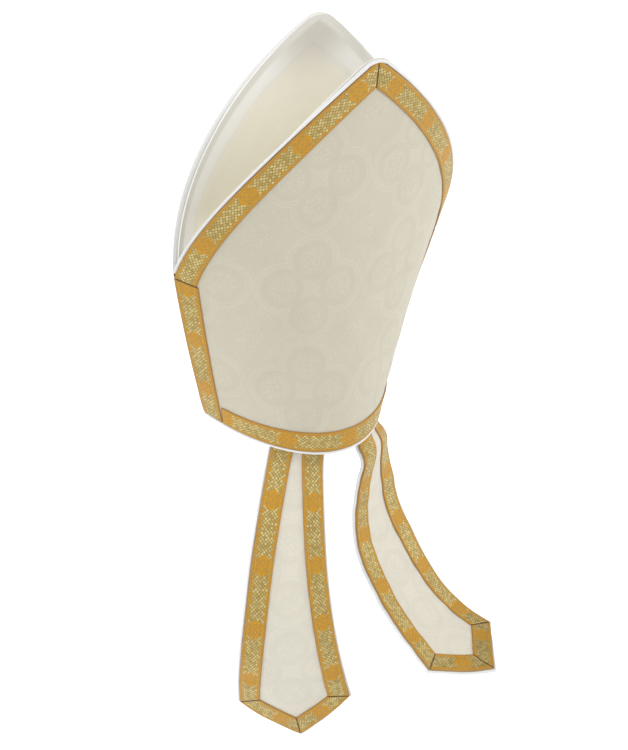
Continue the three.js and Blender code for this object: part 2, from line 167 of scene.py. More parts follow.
def grid_quads(rows, columns, start=0):
    """Corner numbers of the faces of a grid of points."""
    corner = start + np.arange(rows * columns).reshape(rows, columns)
    ways = [corner[:-1, :-1], corner[:-1, 1:], corner[1:, 1:], corner[1:, :-1]]
    return np.stack(ways, axis=-1).reshape(-1, 4)


def new_piece(name, points, faces, maps, material, sharp=40):
    """A mesh object from points in millimetres, with its maps of the cloth, in metres."""
    corners = points[np.array([face[:3] for face in faces])]
    volume = np.einsum("ij,ij->i", corners[:, 0], np.cross(corners[:, 1], corners[:, 2])).sum()
    if volume < 0:
        faces = [face[::-1] for face in faces]
    mesh = bpy.data.meshes.new(name)
    mesh.from_pydata((points * MM).tolist(), [], faces)
    loops = np.empty(len(mesh.loops), dtype=int)
    mesh.loops.foreach_get("vertex_index", loops)
    for map_name, places in maps.items():
        layer = mesh.uv_layers.new(name=map_name)
        layer.uv.foreach_set("vector", (places[loops] * MM).astype(np.float32).ravel())
    mesh.shade_smooth()
    mesh.set_sharp_from_angle(angle=np.radians(sharp))
    mesh.materials.append(material)
    piece = bpy.data.objects.new(name, mesh)
    bpy.context.scene.collection.objects.link(piece)
    return piece


def wall(name, outer, inner, maps, material, parity=None):
    """A closed wall between two grids of points. Parity splits the outer faces into lozenges."""
    rows, columns = outer.shape[:2]
    count = rows * columns
    points = np.concatenate([outer.reshape(-1, 3), inner.reshape(-1, 3)])
    top = grid_quads(rows, columns)
    faces = []
    if parity is None:
        faces += top.tolist()
    else:
        even = parity.ravel()
        faces += top[even][:, [0, 1, 3]].tolist() + top[even][:, [1, 2, 3]].tolist()
        faces += top[~even][:, [0, 1, 2]].tolist() + top[~even][:, [0, 2, 3]].tolist()
    faces += grid_quads(rows, columns, count)[:, ::-1].tolist()
    corner = np.arange(count).reshape(rows, columns)
    border = [corner[0, ::-1], corner[:, 0], corner[-1, :], corner[::-1, -1]]
    for edge in border:
        sides = np.stack([edge[:-1], edge[1:], edge[1:] + count, edge[:-1] + count], axis=-1)
        faces += sides.tolist()
    doubled = {key: np.tile(value.reshape(-1, 2), (2, 1)) for key, value in maps.items()}
    return new_piece(name, points, faces, doubled, material)


def sewn(piece, slot, *nodes):
    """Puts a piece under the one body's root, and hides the solids that it stands for."""
    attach(piece, "root")
    if nodes:
        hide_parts(*nodes)
    return piece


# Shader helpers. Patterns are worked out in millimetres from a map of the flat cloth.
def add_node(tree, kind, inputs=None, **settings):
    made = tree.nodes.new(kind)
    for key, value in settings.items():
        setattr(made, key, value)
    for key, value in (inputs or {}).items():
        socket = made.inputs[key]
        if isinstance(value, bpy.types.NodeSocket):
            tree.links.new(value, socket)
        else:
            socket.default_value = value
    return made


def calc(tree, operation, *values):
    inputs = dict(enumerate(values))
    return add_node(tree, "ShaderNodeMath", inputs, operation=operation).outputs[0]


def smooth_step(tree, value, low, high):
    inputs = {"Value": value, "From Min": low, "From Max": high}
    kind = "ShaderNodeMapRange"
    return add_node(tree, kind, inputs, interpolation_type="SMOOTHSTEP").outputs[0]


def blend_colours(tree, share, first, second):
    inputs = {0: share, 6: first, 7: second}
    return add_node(tree, "ShaderNodeMix", inputs, data_type="RGBA").outputs[2]


def line_at(tree, value, place, width):
    """1 on a line where value passes place, fading to 0 over width on both sides."""
    off = calc(tree, "ABSOLUTE", calc(tree, "SUBTRACT", value, place))
    return smooth_step(tree, off, width, width * 0.35)


def noise(tree, place, scale, detail=2.0):
    inputs = {"Vector": place, "Scale": scale, "Detail": detail}
    return add_node(tree, "ShaderNodeTexNoise", inputs).outputs["Fac"]


def cloth_map(tree, name):
    """A map of the flat cloth in millimetres: its place, and its two distances."""
    found = add_node(tree, "ShaderNodeUVMap", uv_map=name).outputs[0]
    inputs = {0: found, "Scale": 1 / MM}
    place = add_node(tree, "ShaderNodeVectorMath", inputs, operation="SCALE").outputs[0]
    parts = add_node(tree, "ShaderNodeSeparateXYZ", {0: place})
    return place, parts.outputs[0], parts.outputs[1]


def new_group(name, inputs, outputs):
    """A shader node group. Inputs and outputs are pairs of a name and a kind of socket."""
    tree = bpy.data.node_groups.new(name, "ShaderNodeTree")
    for way, sockets in (("INPUT", inputs), ("OUTPUT", outputs)):
        for socket_name, kind in sockets:
            tree.interface.new_socket(socket_name, in_out=way, socket_type="NodeSocket" + kind)
    entry = tree.nodes.new("NodeGroupInput")
    leave = tree.nodes.new("NodeGroupOutput")
    return tree, entry.outputs, leave.inputs


def use_group(tree, group, **inputs):
    names = {key.replace("_", " "): value for key, value in inputs.items()}
    made = tree.nodes.new("ShaderNodeGroup")
    made.node_tree = group
    for key, value in names.items():
        if isinstance(value, bpy.types.NodeSocket):
            tree.links.new(value, made.inputs[key])
        else:
            made.inputs[key].default_value = value
    return made.outputs


def new_material(name, **settings):
    """A material with one Principled BSDF, whose plain values are set on its own sockets."""
    material = bpy.data.materials.new(name)
    material.use_nodes = True
    tree = material.node_tree
    shader = tree.nodes["Principled BSDF"]
    for key, value in settings.items():
        shader.inputs[key.replace("_", " ")].default_value = value
    return material, tree, shader


def raise_bump(tree, shader, height, strength, distance):
    inputs = {"Height": height, "Strength": strength, "Distance": distance * MM}
    bump = add_node(tree, "ShaderNodeBump", inputs)
    tree.links.new(bump.outputs[0], shader.inputs["Normal"])


def linear(red, green, blue):
    """A colour given as it looks on a screen, from 0 to 255, for a shader socket."""
    values = np.array([red, green, blue]) / 255
    light = np.where(values <= 0.04045, values / 12.92, ((values + 0.055) / 1.055) ** 2.4)
    return (*light.tolist(), 1.0)


# Plain weave: rows of warp and weft threads that pass over each other, and uneven yarn
weave_group, given, out = new_group(
    "thread weave",
    [("Place", "Vector"), ("Pitch", "Float"), ("Yarn", "Float")],
    [("Height", "Float"), ("Tone", "Float")],
)
tree = weave_group
parts = add_node(tree, "ShaderNodeSeparateXYZ", {0: given["Place"]})
u = calc(tree, "DIVIDE", parts.outputs[0], given["Pitch"])
v = calc(tree, "DIVIDE", parts.outputs[1], given["Pitch"])
warp = calc(tree, "ABSOLUTE", calc(tree, "SINE", calc(tree, "MULTIPLY", u, np.pi)))
weft = calc(tree, "ABSOLUTE", calc(tree, "SINE", calc(tree, "MULTIPLY", v, np.pi)))
turns = calc(tree, "ADD", calc(tree, "FLOOR", u), calc(tree, "FLOOR", v))
over = calc(tree, "PINGPONG", turns, 1.0)
threads = calc(tree, "ADD", calc(tree, "MULTIPLY", warp, over),
               calc(tree, "MULTIPLY", weft, calc(tree, "SUBTRACT", 1.0, over)))
slub = noise(tree, given["Place"], given["Yarn"], 3.0)
tree.links.new(calc(tree, "ADD", calc(tree, "MULTIPLY", threads, 0.5), slub), out["Height"])
tree.links.new(calc(tree, "MULTIPLY_ADD", threads, 0.25, slub), out["Tone"])

# The damask's figure: quatrefoils of four ringed lobes, nearly touching, with grainy sprays
# inside the lobes and in the spaces between, and a plain band inside the rings
figure_group, given, out = new_group(
    "damask figure",
    [("Place", "Vector"), ("Start Across", "Float"), ("Start Up", "Float")],
    [("Rings", "Float"), ("Spray", "Float"), ("Plain", "Float")],
)
tree = figure_group
REPEAT_ACROSS = 112.0
REPEAT_UP = 110.0
LOBE_OFFSET = 28.5
LOBE_RINGS = [(26.6, 1.0, 0.9), (24.2, 1.0, 0.65), (21.8, 0.9, 0.8)] # radius, width, strength
MIDDLE_RING = (5.5, 1.0)
# Where each part of the figure fades, as its distances from the middle of a lobe
INNER_SPRAY = (14.5, 12.5)
OUTER_SPRAY = (27.5, 30.0)
PLAIN_STARTS = (13.5, 15.5)
PLAIN_ENDS = (20.8, 18.8)
BETWEEN_SPRAY = (16, 12) # from the middle of the space between the quatrefoils


def folded(tree, value, start, repeat):
    """Distance from the middle of the nearest repeat."""
    moved = calc(tree, "SUBTRACT", value, start)
    return calc(tree, "PINGPONG", moved, repeat / 2)


def length_of(tree, x, y):
    return calc(tree, "SQRT", calc(tree, "ADD", calc(tree, "MULTIPLY", x, x),
                                   calc(tree, "MULTIPLY", y, y)))


parts = add_node(tree, "ShaderNodeSeparateXYZ", {0: given["Place"]})
x = folded(tree, parts.outputs[0], given["Start Across"], REPEAT_ACROSS)
y = folded(tree, parts.outputs[1], given["Start Up"], REPEAT_UP)
side_lobe = length_of(tree, calc(tree, "SUBTRACT", x, LOBE_OFFSET), y)
end_lobe = length_of(tree, x, calc(tree, "SUBTRACT", y, LOBE_OFFSET))
lobe = calc(tree, "MINIMUM", side_lobe, end_lobe)
wander = calc(tree, "MULTIPLY_ADD", noise(tree, given["Place"], 0.06), 1.6, -0.8)
lobe = calc(tree, "ADD", lobe, wander)
# The rings are ropes of short slanting floats, broken up by the thread
rope = smooth_step(tree, noise(tree, given["Place"], 0.5, 2.0), 0.3, 0.62)
rings = 0.0
for radius, width, strength in LOBE_RINGS:
    ring = calc(tree, "MULTIPLY", line_at(tree, lobe, radius, width), strength)
    rings = calc(tree, "MAXIMUM", rings, ring)
middle = length_of(tree, x, y)
ring = calc(tree, "MULTIPLY", line_at(tree, middle, *MIDDLE_RING), 0.5)
rings = calc(tree, "MAXIMUM", rings, ring)
rings = calc(tree, "MULTIPLY", rings, calc(tree, "MULTIPLY_ADD", rope, 0.7, 0.3))
between = length_of(tree, calc(tree, "SUBTRACT", x, REPEAT_ACROSS / 2),
                    calc(tree, "SUBTRACT", y, REPEAT_UP / 2))
grains = add_node(tree, "ShaderNodeTexVoronoi", {"Vector": given["Place"], "Scale": 0.42})
grain = smooth_step(tree, grains.outputs["Distance"], 0.55, 0.15)
inside = smooth_step(tree, lobe, *INNER_SPRAY)
around = smooth_step(tree, lobe, *OUTER_SPRAY)
patches = smooth_step(tree, noise(tree, given["Place"], 0.11, 2.0), 0.42, 0.58)
around = calc(tree, "MULTIPLY", around, calc(tree, "MULTIPLY_ADD", patches, 0.45, 0.15))
inside = calc(tree, "MAXIMUM", inside, around)
inside = calc(tree, "MAXIMUM", inside, smooth_step(tree, between, *BETWEEN_SPRAY))
tree.links.new(rings, out["Rings"])
tree.links.new(calc(tree, "MULTIPLY", grain, inside), out["Spray"])
plain = calc(tree, "MULTIPLY", smooth_step(tree, lobe, *PLAIN_STARTS),
             smooth_step(tree, lobe, *PLAIN_ENDS))
tree.links.new(plain, out["Plain"])

# Handling: a faint, cloudy greying of cloth that has been worn and stored
handling_group, given, out = new_group(
    "handling", [("Place", "Vector"), ("Amount", "Float")], [("Tone", "Float")]
)
tree = handling_group
cloud = smooth_step(tree, noise(tree, given["Place"], 0.022, 4.0), 0.3, 0.75)
speck = smooth_step(tree, noise(tree, given["Place"], 0.35, 1.0), 0.25, 0.6)
shade = calc(tree, "MULTIPLY", calc(tree, "MULTIPLY_ADD", speck, 0.3, cloud), given["Amount"])
tree.links.new(calc(tree, "SUBTRACT", 1.0, shade), out["Tone"])


def toned(tree, colour, tone):
    """A colour made lighter or darker by a tone near 1."""
    grey = add_node(tree, "ShaderNodeCombineColor", {0: tone, 1: tone, 2: tone}).outputs[0]
    kind = {"data_type": "RGBA", "blend_type": "MULTIPLY"}
    return add_node(tree, "ShaderNodeMix", {0: 1.0, 6: colour, 7: grey}, **kind).outputs[2]


def damask(name, ground, raised, start, strength):
    """Cream on cream: the figure is satin, a little lighter and smoother than its ground."""
    settings = {"Sheen_Weight": 0.12, "Sheen_Roughness": 0.4, "Specular_IOR_Level": 0.35}
    material, tree, shader = new_material(name, **settings)
    place = cloth_map(tree, "cloth")[0]
    figure = use_group(tree, figure_group, Place=place, Start_Across=start[0], Start_Up=start[1])
    weave = use_group(tree, weave_group, Place=place, Pitch=0.55, Yarn=1.1)
    tone = use_group(tree, handling_group, Place=place, Amount=0.035)["Tone"]
    spray = calc(tree, "MULTIPLY", figure["Spray"], 0.9)
    satin = calc(tree, "MAXIMUM", figure["Rings"], spray)
    share = calc(tree, "MULTIPLY", satin, strength)
    colour = blend_colours(tree, share, ground, raised)
    grain = calc(tree, "MULTIPLY_ADD", weave["Tone"], 0.2, 0.885)
    grain = calc(tree, "MULTIPLY_ADD", figure["Plain"], -0.02 * strength, grain)
    colour = toned(tree, colour, calc(tree, "MULTIPLY", tone, grain))
    tree.links.new(colour, shader.inputs["Base Color"])
    rough = calc(tree, "MULTIPLY_ADD", satin, -0.22, 0.78)
    tree.links.new(rough, shader.inputs["Roughness"])
    relief = calc(tree, "MULTIPLY", satin, 0.9 * strength)
    relief = calc(tree, "MULTIPLY_ADD", figure["Plain"], -0.5 * strength, relief)
    height = calc(tree, "MULTIPLY_ADD", weave["Height"], 0.5, relief)
    raise_bump(tree, shader, height, 0.55, 0.32)
    return material


CREAM = linear(194, 188, 170)
CREAM_RAISED = linear(207, 202, 187)
FIGURE_START = (50.0, 173.0)
FIGURE_STRENGTH = 0.55
panel_damask = damask("cream_damask", CREAM, CREAM_RAISED, FIGURE_START, FIGURE_STRENGTH)

PANEL_COLUMNS = 150
PANEL_ROWS = 110
BOARD_WAVES = [(71, 113, 0.5), (47, 61, 0.22)] # across, up and height of soft waves, mm


def soft_waves(across, up, waves):
    """Low, wide unevenness of stiffened cloth."""
    total = 0.0
    for wide, tall, height in waves:
        total = total + height * np.sin(2 * np.pi * across / wide + up / tall)
        total = total * np.cos(2 * np.pi * up / tall - across / wide)
    return total


def add_panel(face_name, face):
    share, row = np.meshgrid(np.linspace(-1, 1, PANEL_COLUMNS + 1),
                             np.linspace(0, 1, PANEL_ROWS + 1))
    z = mix(rim_height(share), slant_height(face, share), row)
    across = share * half_girth(face, z)
    calm = rise_between(0, 0.25, 1 - np.abs(share)) * rise_between(0, 0.2, 1 - row)
    lift = soft_waves(across, z, BOARD_WAVES) * calm * rise_between(0, 0.2, row)
    outer = share_point(face, share, z, lift)
    inner = share_point(face, share, z, -PANEL_WALL)
    maps = {"cloth": np.stack([across, z], axis=-1)}
    piece = wall(f"{face_name}_face", outer, inner, maps, panel_damask)
    sewn(piece, "damask", f"{face_name}_panel")


for face_name, face in FACES.items():
    add_panel(face_name, face)

# ---- Gold braid on the faces --------------------------------------------------------------
# A 21 mm woven galloon: a golden silk ground with ribbed edges, and blocks of small lozenges
# of pale metal thread between short sprays. It is sewn flat along both edges and mitred at
# the horns and the peak; the side lengths run down over the rim's.
BRAID_WIDTH = 21.2
BRAID_WALL = 0.9
JOINT_GAP = 0.4
HALF_CELL = (1.95, 1.7) # half a lozenge along and across the braid
REPEAT_CELLS = 32
BLOCK_CELLS = 25
BLOCK_HALF = 7.0
TOOTH = 1.3 # the block's edge is toothed, two lozenges to a tooth
LATTICE_COLUMNS = 7
EDGE_COLUMNS = [0, 0.35, 0.9, 1.4, 1.9, 2.4, 2.9, 3.8]
EDGE_LIFTS = [-0.5, -0.15, -0.05, 0.1, 0.18, 0.1, -0.05, 0]
LOZENGE_LIFT = 0.2
LATTICE_DIP = 0.05
JOINT_DIP = 0.35
PICK_PITCH = 0.42
WARP_PITCH = 0.5
RIB_FROM_EDGE = 1.95
RIB_WIDTH = 0.75
RIB_DASH = 1.75 # from one stitch of the rib to the next
TURNED_IN = (1.2, 0.5) # the ground's darker turned edge fades between these
CREASE_FADE = (1.0, 0.35)
FLOWER = {"petals": 4.0, "wave": 1.1, "radius": 4.4, "heart": (1.6, 1.0)}
LEAF = {"across": 5.0, "up": 4.4, "fade": (1.9, 1.3)}
SPRAY_SIDES = (7.6, 6.8)
SPRAY_ENDS = (8.0, 7.2)

gold_braid, tree, shader = new_material(
    "gold_braid", Sheen_Weight=0.08, Sheen_Roughness=0.35, Anisotropic=0.35
)
place, along, across = cloth_map(tree, "braid")
cells = calc(tree, "DIVIDE", along, HALF_CELL[0])
columns = calc(tree, "DIVIDE", across, HALF_CELL[1])
rising = calc(tree, "MULTIPLY", calc(tree, "ADD", cells, columns), 0.5)
falling = calc(tree, "MULTIPLY", calc(tree, "SUBTRACT", cells, columns), 0.5)
from_rising = calc(tree, "PINGPONG", rising, 0.5)
from_falling = calc(tree, "PINGPONG", falling, 0.5)
inset = calc(tree, "SUBTRACT", 0.5, calc(tree, "MAXIMUM", from_rising, from_falling))
lozenge = smooth_step(tree, inset, 0.05, 0.2)
off_middle = calc(tree, "ABSOLUTE", across)
tooth = calc(tree, "PINGPONG", cells, 2.0)
block_edge = calc(tree, "MULTIPLY_ADD", tooth, -TOOTH, BLOCK_HALF + TOOTH)
in_width = smooth_step(tree, calc(tree, "SUBTRACT", off_middle, block_edge), 0.35, -0.35)
notch = calc(tree, "MULTIPLY_ADD", off_middle, -0.32, 1.8)
wrapped = calc(tree, "FLOORED_MODULO", cells, float(REPEAT_CELLS))
after_start = smooth_step(tree, calc(tree, "SUBTRACT", wrapped, notch), -0.3, 0.3)
to_end = calc(tree, "SUBTRACT", float(BLOCK_CELLS), wrapped)
before_end = smooth_step(tree, calc(tree, "SUBTRACT", to_end, notch), -0.3, 0.3)
block = calc(tree, "MULTIPLY", in_width, calc(tree, "MULTIPLY", after_start, before_end))

cell_numbers = add_node(tree, "ShaderNodeCombineXYZ", {
    0: calc(tree, "FLOOR", calc(tree, "ADD", rising, 0.5)),
    1: calc(tree, "FLOOR", calc(tree, "ADD", falling, 0.5)),
}).outputs[0]
glint_chance = add_node(tree, "ShaderNodeTexWhiteNoise", {"Vector": cell_numbers}).outputs["Value"]
picks = calc(tree, "SINE", calc(tree, "MULTIPLY", along, 2 * np.pi / PICK_PITCH))
warps = calc(tree, "SINE", calc(tree, "MULTIPLY", across, 2 * np.pi / WARP_PITCH))
fine = noise(tree, place, 0.9, 3.0)

GROUND_GOLD = linear(206, 152, 32)
DEEP_GOLD = linear(186, 134, 26)
SPRAY_GOLD = linear(162, 132, 62)
THREAD_DARK = linear(150, 122, 54)
THREAD_DULL = linear(166, 145, 82)
# the paler metal thread, made paler still as a painted glint
THREAD_PALE_GLINT = linear(216, 200, 138)
RIB_PALE = linear(196, 164, 84)
EDGE_BROWN = linear(176, 126, 42)
RIB_DARK = linear(134, 94, 30)
JOINT_BROWN = linear(104, 72, 30)

ground = blend_colours(tree, smooth_step(tree, fine, 0.4, 0.62), DEEP_GOLD, GROUND_GOLD)
# Each lozenge is given at random a duller or a paler metal: the paler ones are partly painted glints
# of the metal thread
pale = blend_colours(tree, glint_chance, THREAD_DULL, THREAD_PALE_GLINT)
metal = blend_colours(tree, lozenge, THREAD_DARK, pale)

# The spray between two blocks: a small flower with leaves, the same on both sides
from_spray = calc(tree, "SUBTRACT", wrapped, (REPEAT_CELLS + BLOCK_CELLS) / 2)
spray_up = calc(tree, "MULTIPLY", from_spray, HALF_CELL[0])
angle = calc(tree, "ARCTAN2", spray_up, off_middle)
petals = calc(tree, "COSINE", calc(tree, "MULTIPLY", angle, FLOWER["petals"]))
reach = length_of(tree, off_middle, spray_up)
petal_line = calc(tree, "MULTIPLY_ADD", petals, FLOWER["wave"], FLOWER["radius"])
flower = line_at(tree, calc(tree, "SUBTRACT", reach, petal_line), 0.0, 1.0)
from_middle = calc(tree, "ABSOLUTE", spray_up)
leaf_reach = length_of(tree, calc(tree, "SUBTRACT", off_middle, LEAF["across"]),
                       calc(tree, "SUBTRACT", from_middle, LEAF["up"]))
leaf = smooth_step(tree, leaf_reach, *LEAF["fade"])
spray = calc(tree, "MAXIMUM", flower, leaf)
spray = calc(tree, "MAXIMUM", spray, smooth_step(tree, reach, *FLOWER["heart"]))
in_spray = calc(tree, "MULTIPLY", smooth_step(tree, off_middle, *SPRAY_SIDES),
                smooth_step(tree, from_middle, *SPRAY_ENDS))
broken = smooth_step(tree, fine, 0.3, 0.62)
spray = calc(tree, "MULTIPLY", calc(tree, "MULTIPLY", spray, in_spray), broken)
colour = blend_colours(tree, spray, ground, SPRAY_GOLD)
colour = blend_colours(tree, block, colour, metal)

# Ribbed edges with a sunk row of stitches, and the darker turned edge of the ground
from_edge = calc(tree, "SUBTRACT", BRAID_WIDTH / 2, off_middle)
rib = line_at(tree, from_edge, RIB_FROM_EDGE, RIB_WIDTH)
dash = calc(tree, "SINE", calc(tree, "MULTIPLY", along, 2 * np.pi / RIB_DASH))
dash = smooth_step(tree, dash, -0.5, 0.3)
rib_colour = blend_colours(tree, dash, RIB_DARK, RIB_PALE)
colour = blend_colours(tree, rib, colour, rib_colour)
edge = smooth_step(tree, from_edge, *TURNED_IN)
colour = blend_colours(tree, edge, colour, EDGE_BROWN)
crease = smooth_step(tree, cloth_map(tree, "joint")[1], *CREASE_FADE)
colour = blend_colours(tree, crease, colour, JOINT_BROWN)
tone = use_group(tree, handling_group, Place=place, Amount=0.06)["Tone"]
mottle = calc(tree, "MULTIPLY_ADD", fine, 0.2, 0.9)
colour = toned(tree, colour, calc(tree, "MULTIPLY", tone, mottle))
tree.links.new(colour, shader.inputs["Base Color"])
shine = calc(tree, "MULTIPLY", block, lozenge)
tree.links.new(calc(tree, "MULTIPLY_ADD", shine, 0.35, 0.25), shader.inputs["Metallic"])
tree.links.new(calc(tree, "MULTIPLY_ADD", shine, -0.12, 0.52), shader.inputs["Roughness"])
thread = calc(tree, "MULTIPLY_ADD", warps, 0.10, calc(tree, "MULTIPLY", picks, 0.16))
pillow = calc(tree, "MULTIPLY", calc(tree, "MULTIPLY", inset, block), 1.1)
height = calc(tree, "ADD", thread, calc(tree, "ADD", pillow, calc(tree, "MULTIPLY", rib, 0.5)))
height = calc(tree, "ADD", height, calc(tree, "MULTIPLY", spray, 0.5))
raise_bump(tree, shader, height, 0.6, 0.3)


CUT_REACH = 40
CUT_STEPS = 321
SIDE_STEPS = 60
RIM_STEPS = 200


def edge_line(points, inward):
    """A line on flat cloth, run on straight past both ends: points at s along, t to its side."""
    steps = np.diff(points, axis=0)
    lengths = np.concatenate([[0], np.cumsum(np.linalg.norm(steps, axis=1))])
    ways = ways_along(points)

    def place(s, t):
        s, t = np.broadcast_arrays(np.asarray(s, float), np.asarray(t, float))
        held = np.clip(s, 0, lengths[-1])
        at = [np.interp(held, lengths, points[:, axis]) for axis in (0, 1)]
        way = [np.interp(held, lengths, ways[:, axis]) for axis in (0, 1)]
        past = s - held
        x = at[0] + way[0] * past - inward * way[1] * t
        y = at[1] + way[1] * past + inward * way[0] * t
        return x, y

    return place, lengths[-1]


def cut_across(line, t, near, point, way):
    """Where each thread of a braid, at t from its edge, meets the straight cut of a joint."""
    s = near + np.linspace(-CUT_REACH, CUT_REACH, CUT_STEPS)
    x, y = line(s[:, None], t[None, :])
    off = (x - point[0]) * way[1] - (y - point[1]) * way[0]
    found = np.empty(len(t))
    for column in range(len(t)):
        values = off[:, column]
        if values[0] > values[-1]:
            values = -values
        found[column] = np.interp(0, values, s)
    return found


def braid_columns():
    left = np.array(EDGE_COLUMNS)
    lattice = BRAID_WIDTH / 2 + HALF_CELL[1] * (np.arange(LATTICE_COLUMNS) - LATTICE_COLUMNS // 2)
    return np.concatenate([left, lattice, (BRAID_WIDTH - left)[::-1]])


def braid_length(name, line, lay, first, last, pattern, base):
    """A length of braid laid by its outer edge, between a first and a last cut. Pattern is
    how far into its repeat it was cut, and how long half a lozenge has come out."""
    t = braid_columns()
    offset, cell = pattern
    whole = np.arange(np.ceil((first.max() + offset) / cell),
                      np.floor((last.min() + offset) / cell) + 1)
    straight = np.repeat(whole[:, None] * cell - offset, len(t), axis=1)

    def run_out(towards, edge):
        steps = max(2, int(np.ceil(np.ptp(towards) / cell)) + 1)
        share = np.append(np.linspace(0, 1, steps + 1)[1:-1], [0.93, 1.0])[:, None]
        return mix(edge[None, :], towards[None, :], share)

    before = run_out(first, straight[0])[::-1]
    after = run_out(last, straight[-1])
    s = np.concatenate([before, straight, after])
    numbers = np.arange(len(s)) - len(before) + int(whole[0])
    to_joint = np.minimum(s - first[None, :], last[None, :] - s)
    lattice = np.abs(t - BRAID_WIDTH / 2) < BLOCK_HALF + TOOTH
    column_cells = np.round((t - BRAID_WIDTH / 2) / HALF_CELL[1]).astype(int)
    even = (numbers[:, None] + column_cells[None, :]) % 2 == 0
    inside = (numbers % REPEAT_CELLS > 0) & (numbers % REPEAT_CELLS < BLOCK_CELLS)
    regular = np.zeros(len(s), bool)
    regular[len(before):len(before) + len(straight)] = True
    raised = even & lattice[None, :] & (inside & regular)[:, None]
    edges = np.array(EDGE_LIFTS)
    profile = np.concatenate([edges, np.zeros(LATTICE_COLUMNS), edges[::-1]])
    relief = profile[None, :] + np.where(raised, LOZENGE_LIFT, 0) - LATTICE_DIP * lattice[None, :]
    relief = relief - JOINT_DIP * (1 - rise_between(0, 1.5, to_joint))
    x, y = line(s, t[None, :])
    outer = lay(x, y, base + BRAID_WALL + relief)
    inner = lay(x, y, np.full(x.shape, base))
    along = (s + offset) * HALF_CELL[0] / cell
    maps = {
        "braid": np.stack(np.broadcast_arrays(along, t - BRAID_WIDTH / 2), axis=-1),
        "joint": np.stack(np.broadcast_arrays(to_joint, t), axis=-1),
    }
    return wall(name, outer, inner, maps, gold_braid, parity=even[:-1, :-1])


# Stitches: short lengths of thread lying on the cloth, a little sunk at both ends
STITCH = {"pitch": 2.6, "long": 1.7, "wide": 0.5, "high": 0.34}
STITCH_COLUMN = 2 # the column of the braid's edge that its stitches lie on
STITCHED_STEPS = 140


def sewing_thread(name, dark, pale):
    material, tree, shader = new_material(name, Sheen_Weight=0.1)
    place, along = cloth_map(tree, "cloth")[:2]
    fleck = noise(tree, place, 2.5, 1.0)
    tree.links.new(blend_colours(tree, fleck, dark, pale), shader.inputs["Base Color"])
    tree.links.new(calc(tree, "MULTIPLY_ADD", fleck, 0.2, 0.4), shader.inputs["Roughness"])
    twist = calc(tree, "SINE", calc(tree, "MULTIPLY", along, 12.0))
    raise_bump(tree, shader, twist, 0.4, 0.1)
    return material


gold_thread = sewing_thread("gold_thread", linear(150, 106, 36), linear(204, 166, 88))


def stitch_row(name, surface, rows, material):
    """Stitches along rows on a surface. Each row gives flat points in its running order, and
    surface lays a flat place down at a lift."""
    points, faces, places = [], [], []
    for row in rows:
        lengths = np.concatenate([[0], np.cumsum(np.linalg.norm(np.diff(row, axis=0), axis=1))])
        starts = np.arange(STITCH["pitch"] / 2, lengths[-1] - STITCH["pitch"], STITCH["pitch"])

        def at(distance):
            return np.stack([np.interp(distance, lengths, row[:, axis]) for axis in (0, 1)], axis=-1)

        head, tail = at(starts), at(starts + STITCH["long"])
        middle = (head + tail) / 2
        way = (tail - head) / np.maximum(np.linalg.norm(tail - head, axis=1, keepdims=True), 1e-9)
        aside = np.stack([-way[:, 1], way[:, 0]], axis=-1) * STITCH["wide"] / 2
        half = STITCH["high"] / 2
        corners = [(head, 0), (tail, 0), (middle + aside, 0), (middle - aside, 0),
                   (middle, half), (middle, -half)]
        laid = np.stack([surface(flat[:, 0], flat[:, 1], np.full(len(flat), lift))
                         for flat, lift in corners], axis=1)
        for number, bead in enumerate(laid):
            first = len(points)
            points.extend(bead)
            places.extend((starts[number] + end, 0) for end in (0, STITCH["long"], 1, 1, 1, 1))
            for a, b in ((0, 2), (2, 1), (1, 3), (3, 0)):
                faces.append((first + a, first + b, first + 4))
                faces.append((first + b, first + a, first + 5))
    return new_piece(name, np.array(points), faces, {"cloth": np.array(places)}, material)


def stitched_edges(line, first, last, side):
    """Rows of stitches along both edges of a length of braid, as flat points."""
    t = braid_columns()
    rows = []
    for column in (STITCH_COLUMN, -1 - STITCH_COLUMN):
        s = np.linspace(first[column] + 1, last[column] - 1, STITCHED_STEPS)
        x, y = line(s, t[column])
        rows.append(np.stack([side * x, y], axis=-1))
    return rows


def add_braid(name, node, line, lay, cuts, pattern, base, side):
    """A length of braid in its place, and the rows of its stitches."""
    piece = braid_length(name, line, lay, *cuts, pattern, base)
    return sewn(piece, "braid", node), stitched_edges(line, *cuts, side)


def lay_on_face(face, side):
    return lambda x, y, lift: cloth_point(face, side * x, y, lift)


# The pattern of each length: how far into the repeat it was cut, and half a lozenge's length
BRAID_PATTERNS = {
    "back": {"slant": [(9, 2.11), (7.4, 2.07)], "side": [(16.3, 1.9), (40, 1.95)],
             "rim": (43, 2.016)},
    "front": {"slant": [(20, 2.0), (33, 2.0)], "side": [(5, 1.95), (28, 1.95)],
              "rim": (20, 2.0)},
}


